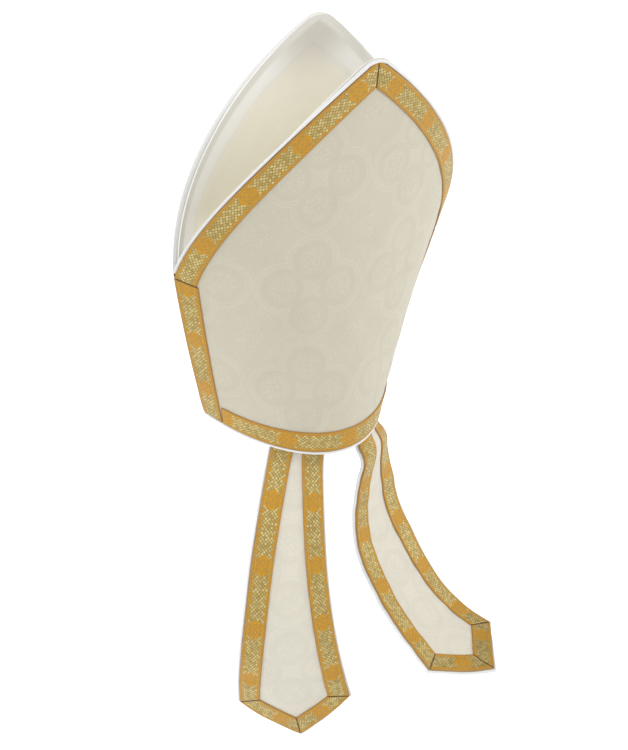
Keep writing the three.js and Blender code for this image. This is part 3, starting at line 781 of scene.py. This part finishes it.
def add_face_braid(face_name, face):
    t = braid_columns()
    patterns = BRAID_PATTERNS[face_name]
    slant, slant_length = edge_line(slant_line(face), 1)
    horn = np.array([float(half_girth(face, np.array([HORN_HEIGHT]))[0]), HORN_HEIGHT])
    corner_z = slant(0, BRAID_WIDTH)[1]
    corner = np.array([float(half_girth(face, np.array([corner_z]))[0]) - BRAID_WIDTH, corner_z])
    joint = corner - horn
    z = np.linspace(0, HORN_HEIGHT, SIDE_STEPS)
    side_edge, side_length = edge_line(np.stack([half_girth(face, z), z], axis=-1), 1)
    foot = np.array([horn[0] - BRAID_WIDTH, rim_height(1 - BRAID_WIDTH / horn[0])])
    girth = float(half_girth(face, np.array([0.0]))[0])
    rim_foot = np.array([girth, 0.0])
    foot_way = np.array([girth - BRAID_WIDTH, foot[1]]) - rim_foot
    rows = []
    for number, (side_name, side) in enumerate((("left", 1), ("right", -1))):
        lay = lay_on_face(face, side)
        slant_cuts = (cut_across(slant, t, 0, horn, joint),
                      cut_across(slant, t, slant_length, (JOINT_GAP / 2, 0), (0, 1)))
        side_cuts = (cut_across(side_edge, t, 0, rim_foot, foot_way),
                     cut_across(side_edge, t, side_length, horn - (0, JOINT_GAP), joint))
        for part, line, cuts in (("slant", slant, slant_cuts), ("side", side_edge, side_cuts)):
            rows += add_braid(f"{face_name}_{part}_galloon_{side_name}",
                              f"{face_name}_{part}_braid_{side_name}", line, lay, cuts,
                              patterns[part][number], LAYER_GAP, side)[1]
    reach = (girth - BRAID_WIDTH - JOINT_GAP) / girth
    share = np.linspace(-1, 1, RIM_STEPS)
    rim, rim_length = edge_line(np.stack([share * girth, rim_height(share)], axis=-1), 1)
    middle = rim_length / 2
    ends = [-reach * girth, reach * girth]
    cuts = [cut_across(rim, t, middle + end, (end, 0), (0, 1)) for end in ends]
    rows += add_braid(f"{face_name}_rim_galloon", f"{face_name}_rim_braid", rim,
                      lay_on_face(face, 1), cuts, patterns["rim"], LAYER_GAP, 1)[1]
    top = LAYER_GAP + BRAID_WALL
    stitches = stitch_row(f"{face_name}_braid_stitches",
                          lambda x, y, lift: cloth_point(face, x, y, lift + top), rows,
                          gold_thread)
    sewn(stitches, "braid")


for face_name, face in FACES.items():
    add_face_braid(face_name, face)

# ---- White rolled edging ------------------------------------------------------------------
# The white satin lining is turned out over the edges of the faces as a narrow roll: one run
# over both slants of a face and one below its rim, sewn down beside the braid.
EDGING_WIDTH = 3.0
EDGING_OUT = 1.3
EDGING_IN = -2.5
ROLL_POINTS = 16
PEAK_ROUND = 21.0 # radius of the roll's middle line round the peak
CAP_STEPS = 24
ROLL_STEPS = 110
HORN_STEPS = 2 # steps of the slant left out at the horn, where the roll runs in
RIM_ROLL_STEPS = 161
SQUARENESS = 0.8 # below 1 the roll's section is fuller than an ellipse


def satin(name, colour, shadow, weave_pitch):
    settings = {"Sheen_Weight": 0.15, "Sheen_Roughness": 0.3, "Specular_IOR_Level": 0.45}
    material, tree, shader = new_material(name, **settings)
    place = cloth_map(tree, "cloth")[0]
    weave = use_group(tree, weave_group, Place=place, Pitch=weave_pitch, Yarn=0.8)
    tone = use_group(tree, handling_group, Place=place, Amount=0.03)["Tone"]
    share = smooth_step(tree, weave["Tone"], 0.2, 0.8)
    painted = toned(tree, blend_colours(tree, share, shadow, colour), tone)
    tree.links.new(painted, shader.inputs["Base Color"])
    rough = calc(tree, "MULTIPLY_ADD", weave["Tone"], 0.2, 0.4)
    tree.links.new(rough, shader.inputs["Roughness"])
    raise_bump(tree, shader, weave["Height"], 0.35, 0.15)
    return material


WHITE = linear(225, 225, 223)
WHITE_SHADOW = linear(212, 212, 210)
white_satin = satin("white_satin", WHITE, WHITE_SHADOW, 0.35)


def rolled_tube(name, centres, sideways, lay, material):
    """A closed roll along a line on flat cloth. Sideways is the way out of the cloth's edge."""
    turn = np.linspace(0, 2 * np.pi, ROLL_POINTS, endpoint=False)
    aside, upward = [np.sign(wave) * np.abs(wave) ** SQUARENESS
                     for wave in (np.cos(turn), np.sin(turn))]
    out = aside * EDGING_WIDTH / 2
    lift = (EDGING_OUT + EDGING_IN) / 2 + upward * (EDGING_OUT - EDGING_IN) / 2
    x = centres[:, 0, None] + sideways[:, 0, None] * out
    y = centres[:, 1, None] + sideways[:, 1, None] * out
    points = lay(x, y, np.broadcast_to(lift, x.shape)).reshape(-1, 3)
    rows, columns = x.shape
    corner = np.arange(rows * columns).reshape(rows, columns)
    after = np.roll(corner, -1, axis=1)
    sides = np.stack([corner[:-1], after[:-1], after[1:], corner[1:]], axis=-1).reshape(-1, 4)
    faces = sides.tolist() + [corner[0, ::-1].tolist(), corner[-1].tolist()]
    along = np.concatenate([[0], np.cumsum(np.linalg.norm(np.diff(centres, axis=0), axis=1))])
    across = np.linspace(0, 12, columns)
    places = np.stack(np.meshgrid(along, across, indexing="ij"), axis=-1).reshape(-1, 2)
    return new_piece(name, points, faces, {"cloth": places}, material)


def outwards_from(line):
    """Unit directions out of the cloth's edge, from a line that runs down to a horn."""
    ways = ways_along(line)
    return np.stack([ways[:, 1], -ways[:, 0]], axis=-1)


def slant_edging(face):
    """Middle line of the roll over both slants, and its way outwards, round the peak."""
    line = slant_line(face, ROLL_STEPS)[HORN_STEPS:]
    out = outwards_from(line)
    end = np.arctan2(out[-1, 1], out[-1, 0])
    off = LAYER_GAP + EDGING_WIDTH / 2
    centre = PEAK_HEIGHT + (off - PEAK_ROUND) / np.sin(end)
    sides = line + out * off
    kept = sides[:, 0] > PEAK_ROUND * np.cos(end)
    arc = np.linspace(end, np.pi - end, CAP_STEPS)
    around = np.stack([np.cos(arc), np.sin(arc)], axis=-1)
    flip = np.array([-1, 1])
    cap = around * PEAK_ROUND + np.array([0, centre])
    middle = np.concatenate([sides[kept], cap, sides[kept][::-1] * flip])
    return middle, np.concatenate([out[kept], around, out[kept][::-1] * flip])


def add_edging(face_name, face):
    lay = lay_on_face(face, 1)
    centres, out = slant_edging(face)
    widest = half_girth(face, centres[:, 1]) - SEAM_GAP
    centres[:, 0] = np.clip(centres[:, 0], -widest, widest)
    piece = rolled_tube(f"{face_name}_edge_roll", centres, out, lay, white_satin)
    sewn(piece, "satin", f"{face_name}_edge_piping")
    share = np.linspace(-1, 1, RIM_ROLL_STEPS)
    girth = float(half_girth(face, np.array([0.0]))[0])
    down = LAYER_GAP + EDGING_WIDTH / 2
    centres = np.stack([share * girth, rim_height(share) - down], axis=-1)
    out = np.repeat([[0.0, -1.0]], len(share), axis=0)
    piece = rolled_tube(f"{face_name}_rim_roll", centres, out, lay, white_satin)
    sewn(piece, "satin", f"{face_name}_rim_piping")


for face_name, face in FACES.items():
    add_edging(face_name, face)

# ---- Gusset -------------------------------------------------------------------------------
# One soft piece of thin white lining between the two faces. It lines the inside of each
# peak, runs out over the rolled edge, and folds down into a valley from horn to horn.
CLOTH_WALL = 1.2
GUSSET_REACH = 0.93
VALLEY = {"above_horn": 6, "sag": 41, "roll": 55}
GUSSET_SPACING = 1.8
GUSSET_LIFT = -(PANEL_WALL + LAYER_GAP + CLOTH_WALL / 2)
GUSSET_COLUMNS = 140
GUSSET_ROWS = 150
EDGE_OUT = 4.5 # the lining runs on over the inside of the rolled edge
EDGE_TAPER = 0.06 # the share of a slant over which it comes out at the horn
LINING_EDGE_STEPS = 200
DISTANCE_STEPS = 160
TOP_ROUND = 31.0
HORN_REACH = 0.988 # along the slants it comes closer to the horns than in the valley
LEAST_ROLL = 0.85
GATHERS = {"along": 21, "height": 1.1}
BILLOW = {"across": 9, "along": 5, "height": 2.0}
STITCH_IN = 4.6
STITCHED_FROM = 10 # the step of the slant where the stitches start
BORDER_FADE = (34.0, 14.0)
CREASE_SHADE = (24.0, 3.5) # place and width of a faint painted shade along a crease inside the whiter border
# where the painted shade near the peak fades, as distances from the peak
PEAK_SHADE_FADE = (78.0, 18.0)
TURNED_FADE = (7.0, 2.5)

# Near the peak the lining is painted greyer: painted shade of the soft folds in the hollow of the
# peak
LINING_WHITE = linear(245, 241, 227)
BORDER_WHITE = linear(249, 248, 245)
PEAK_SHADE_GREY = linear(214, 209, 200)
EDGE_WHITE = linear(230, 228, 222)
lining, tree, shader = new_material(
    "thin_lining", Sheen_Weight=0.15, Sheen_Roughness=0.35, Specular_IOR_Level=0.3
)
place = cloth_map(tree, "cloth")[0]
from_edge = cloth_map(tree, "edge")[1]
from_peak = cloth_map(tree, "peak")[1]
weave = use_group(tree, weave_group, Place=place, Pitch=0.3, Yarn=0.7)
tone = use_group(tree, handling_group, Place=place, Amount=0.04)["Tone"]
wander = calc(tree, "MULTIPLY_ADD", noise(tree, place, 0.018, 3.0), 16.0, -8.0)
wandering = calc(tree, "ADD", from_edge, wander)
# The lining turns whiter towards the edge of the slants, over a wandering line some 14 to 34 mm in
whiter_border = smooth_step(tree, wandering, *BORDER_FADE)
colour = blend_colours(tree, whiter_border, LINING_WHITE, BORDER_WHITE)
# Painted shade: a faint darker line along a crease at the inner edge of the whiter border
crease_shaded = calc(tree, "MULTIPLY_ADD", line_at(tree, wandering, *CREASE_SHADE), -0.035, 1.0)
# Painted shade: the lining turns greyer towards the peak
painted_peak_shade = smooth_step(tree, calc(tree, "ADD", from_peak, wander), *PEAK_SHADE_FADE)
colour = blend_colours(tree, painted_peak_shade, colour, PEAK_SHADE_GREY)
turned_edge = smooth_step(tree, from_edge, *TURNED_FADE)
colour = blend_colours(tree, turned_edge, colour, EDGE_WHITE)
colour = toned(tree, colour, calc(tree, "MULTIPLY", tone, crease_shaded))
tree.links.new(colour, shader.inputs["Base Color"])
tree.links.new(calc(tree, "MULTIPLY_ADD", weave["Tone"], 0.2, 0.5), shader.inputs["Roughness"])
sunk = calc(tree, "MULTIPLY", line_at(tree, from_edge, 0.3, 1.0), 1.5)
height = calc(tree, "MULTIPLY_ADD", weave["Height"], 0.25, calc(tree, "MULTIPLY", sunk, -1.0))
raise_bump(tree, shader, height, 0.4, 0.25)


def rounded_top(across, height, out, radius):
    """Height of an edge that runs outside the slants, with its peak rounded off."""
    line = slant_line(FACES["back"])
    fall = np.arctan2(line[-1, 1] - line[-2, 1], line[-2, 0] - line[-1, 0])
    centre = PEAK_HEIGHT + (out - radius) / np.cos(fall)
    reach = radius * np.sin(fall)
    near = np.minimum(np.abs(across), reach)
    cap = centre + np.sqrt(radius * radius - near * near)
    return np.where(np.abs(across) < reach, np.minimum(height, cap), height)


def lining_top(face, share):
    """Height of the lining's edge at a share of the half width: the slant moved outwards."""
    line = slant_line(face, LINING_EDGE_STEPS)
    out = EDGE_OUT * rise_between(0, EDGE_TAPER, np.linspace(0, 1, len(line)))[:, None]
    line = line + outwards_from(line) * out
    shares = line[:, 0] / half_girth(face, line[:, 1])
    top = np.interp(np.abs(share), shares[::-1], line[::-1, 1])
    return rounded_top(np.abs(share) * half_girth(face, top), top, EDGE_OUT, TOP_ROUND)


def reach_out(share, run):
    """A share of the half width in the valley, as it is at a place along the run."""
    return share * mix(1, HORN_REACH / GUSSET_REACH, rise_between(0.35, 0.9, np.abs(run)))


def gusset_point(share, run):
    """Share is across between the horns; run goes from the front edge, -1, to the back, 1."""
    valley = HORN_HEIGHT + VALLEY["above_horn"] - VALLEY["sag"] * (1 - (share / GUSSET_REACH) ** 2)
    share = reach_out(share, run)
    tops = [lining_top(face, share) for face in (FACES["front"], FACES["back"])]
    height = np.where(run < 0, *tops) - valley
    up = height * np.abs(run) ** GUSSET_SPACING
    roll = np.minimum(VALLEY["roll"], height * LEAST_ROLL)
    spread = np.sin(np.pi / 2 * np.minimum(1, up / roll))
    z = valley + up
    front = share_point(FACES["front"], share, z, GUSSET_LIFT)
    back = share_point(FACES["back"], share, z, GUSSET_LIFT)
    own = np.where((run < 0)[..., None], front, back)
    middle = (front + back) / 2
    middle[..., 1] = size_at(SEAM_SETBACK, z)
    return mix(middle, own, spread[..., None])


def grid_normals(points):
    """Unit normals of a grid of points."""
    row_way = np.gradient(points, axis=0)
    column_way = np.gradient(points, axis=1)
    normals = np.cross(column_way, row_way)
    return normals / np.maximum(np.linalg.norm(normals, axis=-1, keepdims=True), 1e-9)


def distance_to_slant(face, across, z):
    line = slant_line(face, DISTANCE_STEPS)
    gaps = np.abs(across)[..., None] - line[:, 0]
    heights = z[..., None] - line[:, 1]
    return np.sqrt(gaps * gaps + heights * heights).min(axis=-1)


share, run = np.meshgrid(GUSSET_REACH * np.linspace(-1, 1, GUSSET_COLUMNS + 1),
                         np.linspace(-1, 1, GUSSET_ROWS + 1))
middle = gusset_point(share, run)
normals = grid_normals(middle)
# Gathers that run up from each horn, and a loose billow in the valley
horn_pull = rise_between(0.45, 0.95, np.abs(share) / GUSSET_REACH)
gathers = np.sin(run * GATHERS["along"]) * horn_pull
gathers = gathers * rise_between(0.0, 0.25, 1 - np.abs(run)) * GATHERS["height"]
in_valley = rise_between(0.55, 0.85, 1 - np.abs(run))
billow = np.sin(share * BILLOW["across"]) * np.cos(run * BILLOW["along"]) * BILLOW["height"]
billow = billow * in_valley * (1 - horn_pull)
middle = middle + normals * (gathers * in_valley + billow)[..., None]
normals = grid_normals(middle)
outer = middle + normals * CLOTH_WALL / 2
inner = middle - normals * CLOTH_WALL / 2
z = middle[..., 2]
share = reach_out(share, run)
across = share * np.where(run < 0, half_girth(FACES["front"], z), half_girth(FACES["back"], z))
up_steps = np.linalg.norm(np.diff(middle, axis=0), axis=2)
up = np.concatenate([np.zeros((1, share.shape[1])), np.cumsum(up_steps, axis=0)])
edge = np.where(run < 0, distance_to_slant(FACES["front"], across, z),
                distance_to_slant(FACES["back"], across, z))
maps = {
    "cloth": np.stack([across, up], axis=-1),
    "edge": np.stack([edge, up], axis=-1),
    "peak": np.stack([np.hypot(across, PEAK_HEIGHT - z), up], axis=-1),
}
gusset = wall("gusset_lining", outer, inner, maps, lining)
sewn(gusset, "satin", "gusset")

# One row of stitches holds the lining to the edge of each face
cream_thread = sewing_thread("cream_thread", linear(206, 194, 150), linear(232, 226, 204))


def stitch_lining(face_name, face):
    line = slant_line(face, LINING_EDGE_STEPS)[STITCHED_FROM:]
    line = line - outwards_from(line) * (STITCH_IN - EDGE_OUT)
    line = line[line[:, 0] > 0]
    top = GUSSET_LIFT - CLOTH_WALL / 2
    rows = [line, (line * (-1, 1))[::-1]]
    stitches = stitch_row(f"{face_name}_lining_stitches",
                          lambda x, y, lift: cloth_point(face, x, y, lift + top), rows,
                          cream_thread)
    sewn(stitches, "satin")


for face_name, face in FACES.items():
    stitch_lining(face_name, face)

# ---- Lappets ------------------------------------------------------------------------------
# Two flaring strips of the cream damask with pointed ends, stiffened and backed with white
# satin that shows as a narrow rolled border. They are braided all round and sewn inside the
# back of the rim, so that they swing freely.
LAPPET = {"sewn_top": 20, "side": 313, "point": 43, "top_half": 22.9, "end_half": 57,
          "flare": 1.1}
SEWN_SLACK = 1.2
BACKING_MARGIN = 3.0
POINT_STRETCH = 1.25
CORNER_OUT = 1.06
CORNER_DOWN = 0.45
LAPPET_GAP = 0.5
LEAST_CURL = 0.1
RIPPLE = {"height": 0.35, "down": 4.3, "across": 30, "beat": 17, "from": 40, "full": 90}
LAPPETS = {
    "left": {
        "attach": 45,
        "figure": (0.0, 262.0),
        "hang": [
            {"down": 0, "pitch": 3, "yaw": 0, "lean": 0, "curl": 22},
            {"down": 30, "pitch": 3, "yaw": 0, "lean": 0, "curl": 24},
            {"down": 50, "pitch": 33, "yaw": 5, "lean": 3, "curl": 20},
            {"down": 120, "pitch": 33, "yaw": 8, "lean": 3, "curl": 14},
            {"down": 180, "pitch": 25, "yaw": 9, "lean": -2, "curl": 15},
            {"down": 240, "pitch": 10, "yaw": 5, "lean": -8, "curl": 20},
            {"down": 300, "pitch": -3, "yaw": -3, "lean": -12, "curl": 23},
            {"down": 350, "pitch": -6, "yaw": -8, "lean": -18, "curl": 20},
        ],
    },
    "right": {
        "attach": -59,
        "figure": (2.0, 236.0),
        "hang": [
            {"down": 0, "pitch": 2, "yaw": 0, "lean": 0, "curl": 28},
            {"down": 30, "pitch": 2, "yaw": 0, "lean": 0, "curl": 32},
            {"down": 48, "pitch": 37, "yaw": 0, "lean": -3, "curl": 28},
            {"down": 68, "pitch": 0, "yaw": -4, "lean": -1, "curl": 15},
            {"down": 120, "pitch": 12, "yaw": -15, "lean": 1, "curl": 0},
            {"down": 180, "pitch": 40, "yaw": -18, "lean": 0, "curl": 0},
            {"down": 220, "pitch": 50, "yaw": -10, "lean": 9, "curl": 0},
            {"down": 270, "pitch": 66, "yaw": 4, "lean": 21, "curl": 1},
            {"down": 315, "pitch": 81, "yaw": 17, "lean": 36, "curl": 1},
            {"down": 360, "pitch": 97, "yaw": 29, "lean": 46, "curl": 0},
        ],
    },
}
# The lappets' damask is the same cloth as the faces' but given a lighter cream: painted light, for
# the light the upturned lappets catch
LIT_LAPPET_CREAM = linear(210, 205, 190)
LIT_LAPPET_CREAM_RAISED = linear(224, 220, 207)
LAPPET_FIGURE_STRENGTH = 0.5


def hang_at(table, down):
    """Values of the hanging table at a distance down the lappet, smoothed between its rows."""
    row = 1
    while row < len(table) - 1 and table[row]["down"] < down:
        row += 1
    a, b = table[row - 1], table[row]
    straight = np.clip((down - a["down"]) / (b["down"] - a["down"]), 0, 1)
    share = mix(straight, straight * straight * (3 - 2 * straight), 0.3)
    return [mix(a[key], b[key], share) for key in ("pitch", "yaw", "lean", "curl")]


def lappet_path(lappet):
    """The middle line from the sewn top down in 1 mm steps, with its directions and curl."""
    back = FACES["back"]
    lift = -(PANEL_WALL + SEWN_SLACK + CLOTH_WALL + LAPPET_GAP + BRAID_WALL)
    ends = np.array([lappet["attach"], lappet["attach"] + 1.0])
    place, beside = cloth_point(back, ends, np.full(2, float(LAPPET["sewn_top"])), lift)
    facing = np.arctan2(beside[1] - place[1], beside[0] - place[0])
    rows = []
    for down in range(int(LAPPET["side"] + LAPPET["point"] + BACKING_MARGIN * 2) + 1):
        pitch, yaw, lean, curl = hang_at(lappet["hang"], down)
        turn = facing + np.radians(yaw)
        tip = np.radians(lean)
        level = np.array([np.cos(turn), np.sin(turn), 0])
        outwards = np.array([-np.sin(turn), np.cos(turn), 0])
        fall = outwards * np.sin(np.radians(pitch)) - np.array([0, 0, np.cos(np.radians(pitch))])
        way = fall * np.cos(tip) + level * np.sin(tip)
        across = level * np.cos(tip) - fall * np.sin(tip)
        rows.append([*place, *across, *np.cross(way, across), np.radians(curl)])
        place = place + way
    return np.array(rows)


def lappet_half(down):
    share = np.clip(down / LAPPET["side"], 0, 1)
    return mix(LAPPET["top_half"], LAPPET["end_half"], share ** LAPPET["flare"])


def lay_on_lappet(path, side=1):
    """Places points of a lappet's flat cloth, across and down, on the hanging lappet."""
    steps = np.arange(len(path))

    def lay(across, down, lift):
        at = [np.interp(down, steps, path[:, key]) for key in range(path.shape[1])]
        middle = np.stack(at[0:3], axis=-1)
        width_way = np.stack(at[3:6], axis=-1)
        inwards = np.stack(at[6:9], axis=-1)
        width_way /= np.linalg.norm(width_way, axis=-1, keepdims=True)
        inwards /= np.linalg.norm(inwards, axis=-1, keepdims=True)
        roundness = np.maximum(np.radians(LEAST_CURL), at[9]) / lappet_half(down)
        ripple = RIPPLE["height"] * np.sin(down / RIPPLE["down"] + across / RIPPLE["across"])
        ripple = ripple * np.sin(down / RIPPLE["beat"] + 1.0)
        ripple = ripple * rise_between(RIPPLE["from"], RIPPLE["full"], down)
        radius = 1 / roundness + lift + ripple
        turned = side * across * roundness
        sideways = width_way * (radius * np.sin(turned))[..., None]
        return middle + sideways + inwards * (1 / roundness - radius * np.cos(turned))[..., None]

    return lay


LAPPET_COLUMNS = 48
STRAIGHT_ROWS = 110
END_ROWS = 24
STRAIGHT_END = 285.0
LAPPET_EDGE_STEPS = 120
BORDER_STEPS = np.array([0.3, 0.8, 1.5, 2.2, 2.7, 3.0])
BORDER_LIFTS = np.array([0.2, 1.0, 1.35, 1.1, 0.5, -0.3])


def lappet_rows(end):
    """Rows at even distances, then closing up to the pointed end."""
    even = np.linspace(0, STRAIGHT_END, STRAIGHT_ROWS)[:, None] + 0 * end
    closing = np.linspace(0, 1, END_ROWS + 1)[1:, None]
    return np.concatenate([even, mix(STRAIGHT_END, end, closing)])


def lappet_cloth(name, lay, material):
    share = np.linspace(-1, 1, LAPPET_COLUMNS + 1)[None, :]
    end = mix(LAPPET["side"] + LAPPET["point"], LAPPET["side"], np.abs(share))
    down = lappet_rows(end)
    across = share * lappet_half(down)
    outer = lay(across, down, CLOTH_WALL)
    inner = lay(across, down, 0.0)
    maps = {"cloth": np.stack([across, down], axis=-1)}
    return wall(name, outer, inner, maps, material)


def lappet_backing(name, lay, material):
    """The white backing, with its border rolled up round the edge of the cloth."""
    core = np.linspace(-1, 1, LAPPET_COLUMNS + 1)
    share = np.concatenate([-np.ones(len(BORDER_STEPS)), core, np.ones(len(BORDER_STEPS))])
    beside = np.concatenate([-BORDER_STEPS[::-1], 0 * core, BORDER_STEPS])[None, :]
    share = share[None, :]
    end = mix(LAPPET["side"] + LAPPET["point"], LAPPET["side"], np.abs(share))
    down = lappet_rows(end)
    stretch = mix(POINT_STRETCH, CORNER_DOWN, np.abs(share))
    down = np.concatenate([down, end + BORDER_STEPS[:, None] * stretch])
    below = np.concatenate([np.zeros(STRAIGHT_ROWS + END_ROWS), BORDER_STEPS])[:, None]
    margin = np.maximum(np.abs(beside), below + 0 * beside)
    across = share * lappet_half(np.minimum(down, LAPPET["side"])) + beside
    steps = np.concatenate([[0], BORDER_STEPS])
    outer = lay(across, down, np.interp(margin, steps, [-LAPPET_GAP, *BORDER_LIFTS]))
    under = np.interp(margin, [0, 2.0, 3.0], [0, 0, 0.9]) - LAPPET_GAP - CLOTH_WALL
    inner = lay(across, down, under)
    maps = {"cloth": np.stack([across, down], axis=-1)}
    return wall(name, outer, inner, maps, material)


# The pattern of the braid from the top of each side, and from the corner of each point
LAPPET_PATTERNS = {
    "left": {"side": [(41, 2.0), (40, 2.0)], "point": [(8, 1.8), (23, 1.9)]},
    "right": {"side": [(20, 1.875), (9, 1.86)], "point": [(14, 1.9), (27, 1.8)]},
}


def add_lappet(name, lappet):
    path = lappet_path(lappet)
    figure = damask(f"lappet_damask_{name}", LIT_LAPPET_CREAM, LIT_LAPPET_CREAM_RAISED,
                    lappet["figure"], LAPPET_FIGURE_STRENGTH)
    cloth = lappet_cloth(f"lappet_cloth_{name}", lay_on_lappet(path), figure)
    sewn(cloth, "damask", f"lappet_{name}")
    backing = lappet_backing(f"lappet_backing_{name}", lay_on_lappet(path), white_satin)
    sewn(backing, "satin", f"lappet_{name}_backing")
    t = braid_columns()
    corner = np.array([LAPPET["end_half"], LAPPET["side"]])
    inner_corner = np.array([corner[0] - BRAID_WIDTH * CORNER_OUT,
                             corner[1] - BRAID_WIDTH * CORNER_DOWN])
    tip = np.array([0.0, LAPPET["side"] + LAPPET["point"]])
    base = CLOTH_WALL + LAPPET_GAP
    down = np.linspace(0, LAPPET["side"], LAPPET_EDGE_STEPS)
    side_edge, side_length = edge_line(np.stack([lappet_half(down), down], axis=-1), 1)
    point_edge, point_length = edge_line(np.linspace(corner, tip, 3), 1)
    joint = inner_corner - corner
    rows = []
    for number, (side_name, side) in enumerate((("left", 1), ("right", -1))):
        lay = lay_on_lappet(path, side)

        def lay_clear(x, y, lift, lay=lay):
            return lay(np.maximum(x, JOINT_GAP / 2), y, lift)

        side_cuts = (cut_across(side_edge, t, 0, (0, 0), (1, 0)),
                     cut_across(side_edge, t, side_length, corner - (0, JOINT_GAP), joint))
        point_cuts = (cut_across(point_edge, t, 0, corner, joint),
                      cut_across(point_edge, t, point_length, (JOINT_GAP / 2, 0), (0, 1)))
        for part, node, line, cuts in (("side", "braid", side_edge, side_cuts),
                                       ("point", "point_braid", point_edge, point_cuts)):
            piece, stitched = add_braid(f"lappet_{name}_{part}_galloon_{side_name}",
                                        f"lappet_{name}_{node}_{side_name}", line, lay_clear,
                                        cuts, LAPPET_PATTERNS[name][part][number], base, side)
            rows += stitched
    whole = lay_on_lappet(path)
    top = base + BRAID_WALL
    stitches = stitch_row(f"lappet_{name}_braid_stitches",
                          lambda x, y, lift: whole(x, y, lift + top), rows, gold_thread)
    sewn(stitches, "braid")


for name, lappet in LAPPETS.items():
    add_lappet(name, lappet)

# ---- Floor, light and camera --------------------------------------------------------------
# The mitre is held up as a head would hold it, over a plain white floor that glows a little,
# in soft light from large panels and a white surrounding, which the camera sees at its full
# brightness.
FLOOR_WHITE = (0.93, 0.93, 0.93, 1)
FLOOR_GLOW = 0.3
FLOOR_DROP = 0.12
FLOOR_SIZE = 60.0
floor_material, tree, shader = new_material("plain_floor", Roughness=0.9)
shader.inputs["Base Color"].default_value = FLOOR_WHITE
shader.inputs["Emission Color"].default_value = (1, 1, 1, 1)
shader.inputs["Emission Strength"].default_value = FLOOR_GLOW
floor_mesh = bpy.data.meshes.new("floor")
edge = FLOOR_SIZE / 2
floor_height = cad_box[0].z - FLOOR_DROP
floor_corners = [(x * edge, y * edge, floor_height)
                 for x, y in ((-1, -1), (1, -1), (1, 1), (-1, 1))]
floor_mesh.from_pydata(floor_corners, [], [(0, 1, 2, 3)])
floor_mesh.materials.append(floor_material)
floor = bpy.data.objects.new("floor", floor_mesh)
bpy.context.scene.collection.objects.link(floor)

SURROUND = 0.5
world = bpy.data.worlds.new("white_surrounding")
world.use_nodes = True
tree = world.node_tree
background = tree.nodes["Background"]
background.inputs["Color"].default_value = (1, 1, 1, 1)
seen = add_node(tree, "ShaderNodeLightPath").outputs["Is Camera Ray"]
glow = calc(tree, "MULTIPLY_ADD", seen, 1.0 - SURROUND, SURROUND)
tree.links.new(glow, background.inputs["Strength"])
bpy.context.scene.world = world
bpy.context.scene.view_settings.view_transform = "Standard"

# Soft panels: place in metres, size and power, all aimed a little above the rim
LIGHT_AIM = (0, 0, 0.1)
LIGHTS = {
    "top_panel": {"place": (0.9, 1.6, 4.4), "size": 3.4, "power": 98},
    "front_panel": {"place": (1.6, 4.0, 2.0), "size": 3.0, "power": 6},
    "right_panel": {"place": (-4.2, 1.8, 1.8), "size": 3.0, "power": 96},
    "left_panel": {"place": (3.8, -1.2, 2.4), "size": 3.0, "power": 78},
}


def placed(place, right, up, back):
    """Where a lamp or a camera is, and which ways its right, its top and its back point."""
    turn = Matrix([[right[i], up[i], back[i]] for i in range(3)]).to_4x4()
    return Matrix.Translation(place) @ turn


def aimed(place, target):
    back = np.array(place) - np.array(target)
    back = back / np.linalg.norm(back)
    right = np.cross((0, 0, 1), back)
    right = right / np.linalg.norm(right)
    return placed(place, right, np.cross(back, right), back)


for name, light in LIGHTS.items():
    data = bpy.data.lights.new(name, "AREA")
    data.shape = "DISK"
    data.size = light["size"]
    data.energy = light["power"]
    lamp = bpy.data.objects.new(name, data)
    lamp.matrix_world = aimed(light["place"], LIGHT_AIM)
    bpy.context.scene.collection.objects.link(lamp)

CAMERA_AZIMUTH = 140.93
CAMERA_ELEVATION = 36.29
CAMERA_ROLL = 9.705
CAMERA_DISTANCE = 1.72207
CAMERA_AIM = (0.02018, 0.01947) # to the right of the origin and above it
CAMERA_LENS = 82.75
SENSOR_WIDTH = 36
azimuth, elevation, roll = np.radians([CAMERA_AZIMUTH, CAMERA_ELEVATION, CAMERA_ROLL])
level = np.array([np.cos(azimuth), np.sin(azimuth), 0])
back = np.array([np.sin(azimuth) * np.cos(elevation), -np.cos(azimuth) * np.cos(elevation),
                 np.sin(elevation)])
upright = np.cross(back, level)
right = level * np.cos(roll) + upright * np.sin(roll)
up = upright * np.cos(roll) - level * np.sin(roll)
aim = level * CAMERA_AIM[0] + np.array([0, 0, CAMERA_AIM[1]])
camera_data = bpy.data.cameras.new("camera")
camera_data.lens = CAMERA_LENS
camera_data.sensor_width = SENSOR_WIDTH
camera = bpy.data.objects.new("camera", camera_data)
camera.matrix_world = placed(aim + back * CAMERA_DISTANCE, right, up, back)
bpy.context.scene.collection.objects.link(camera)
bpy.context.scene.camera = camera
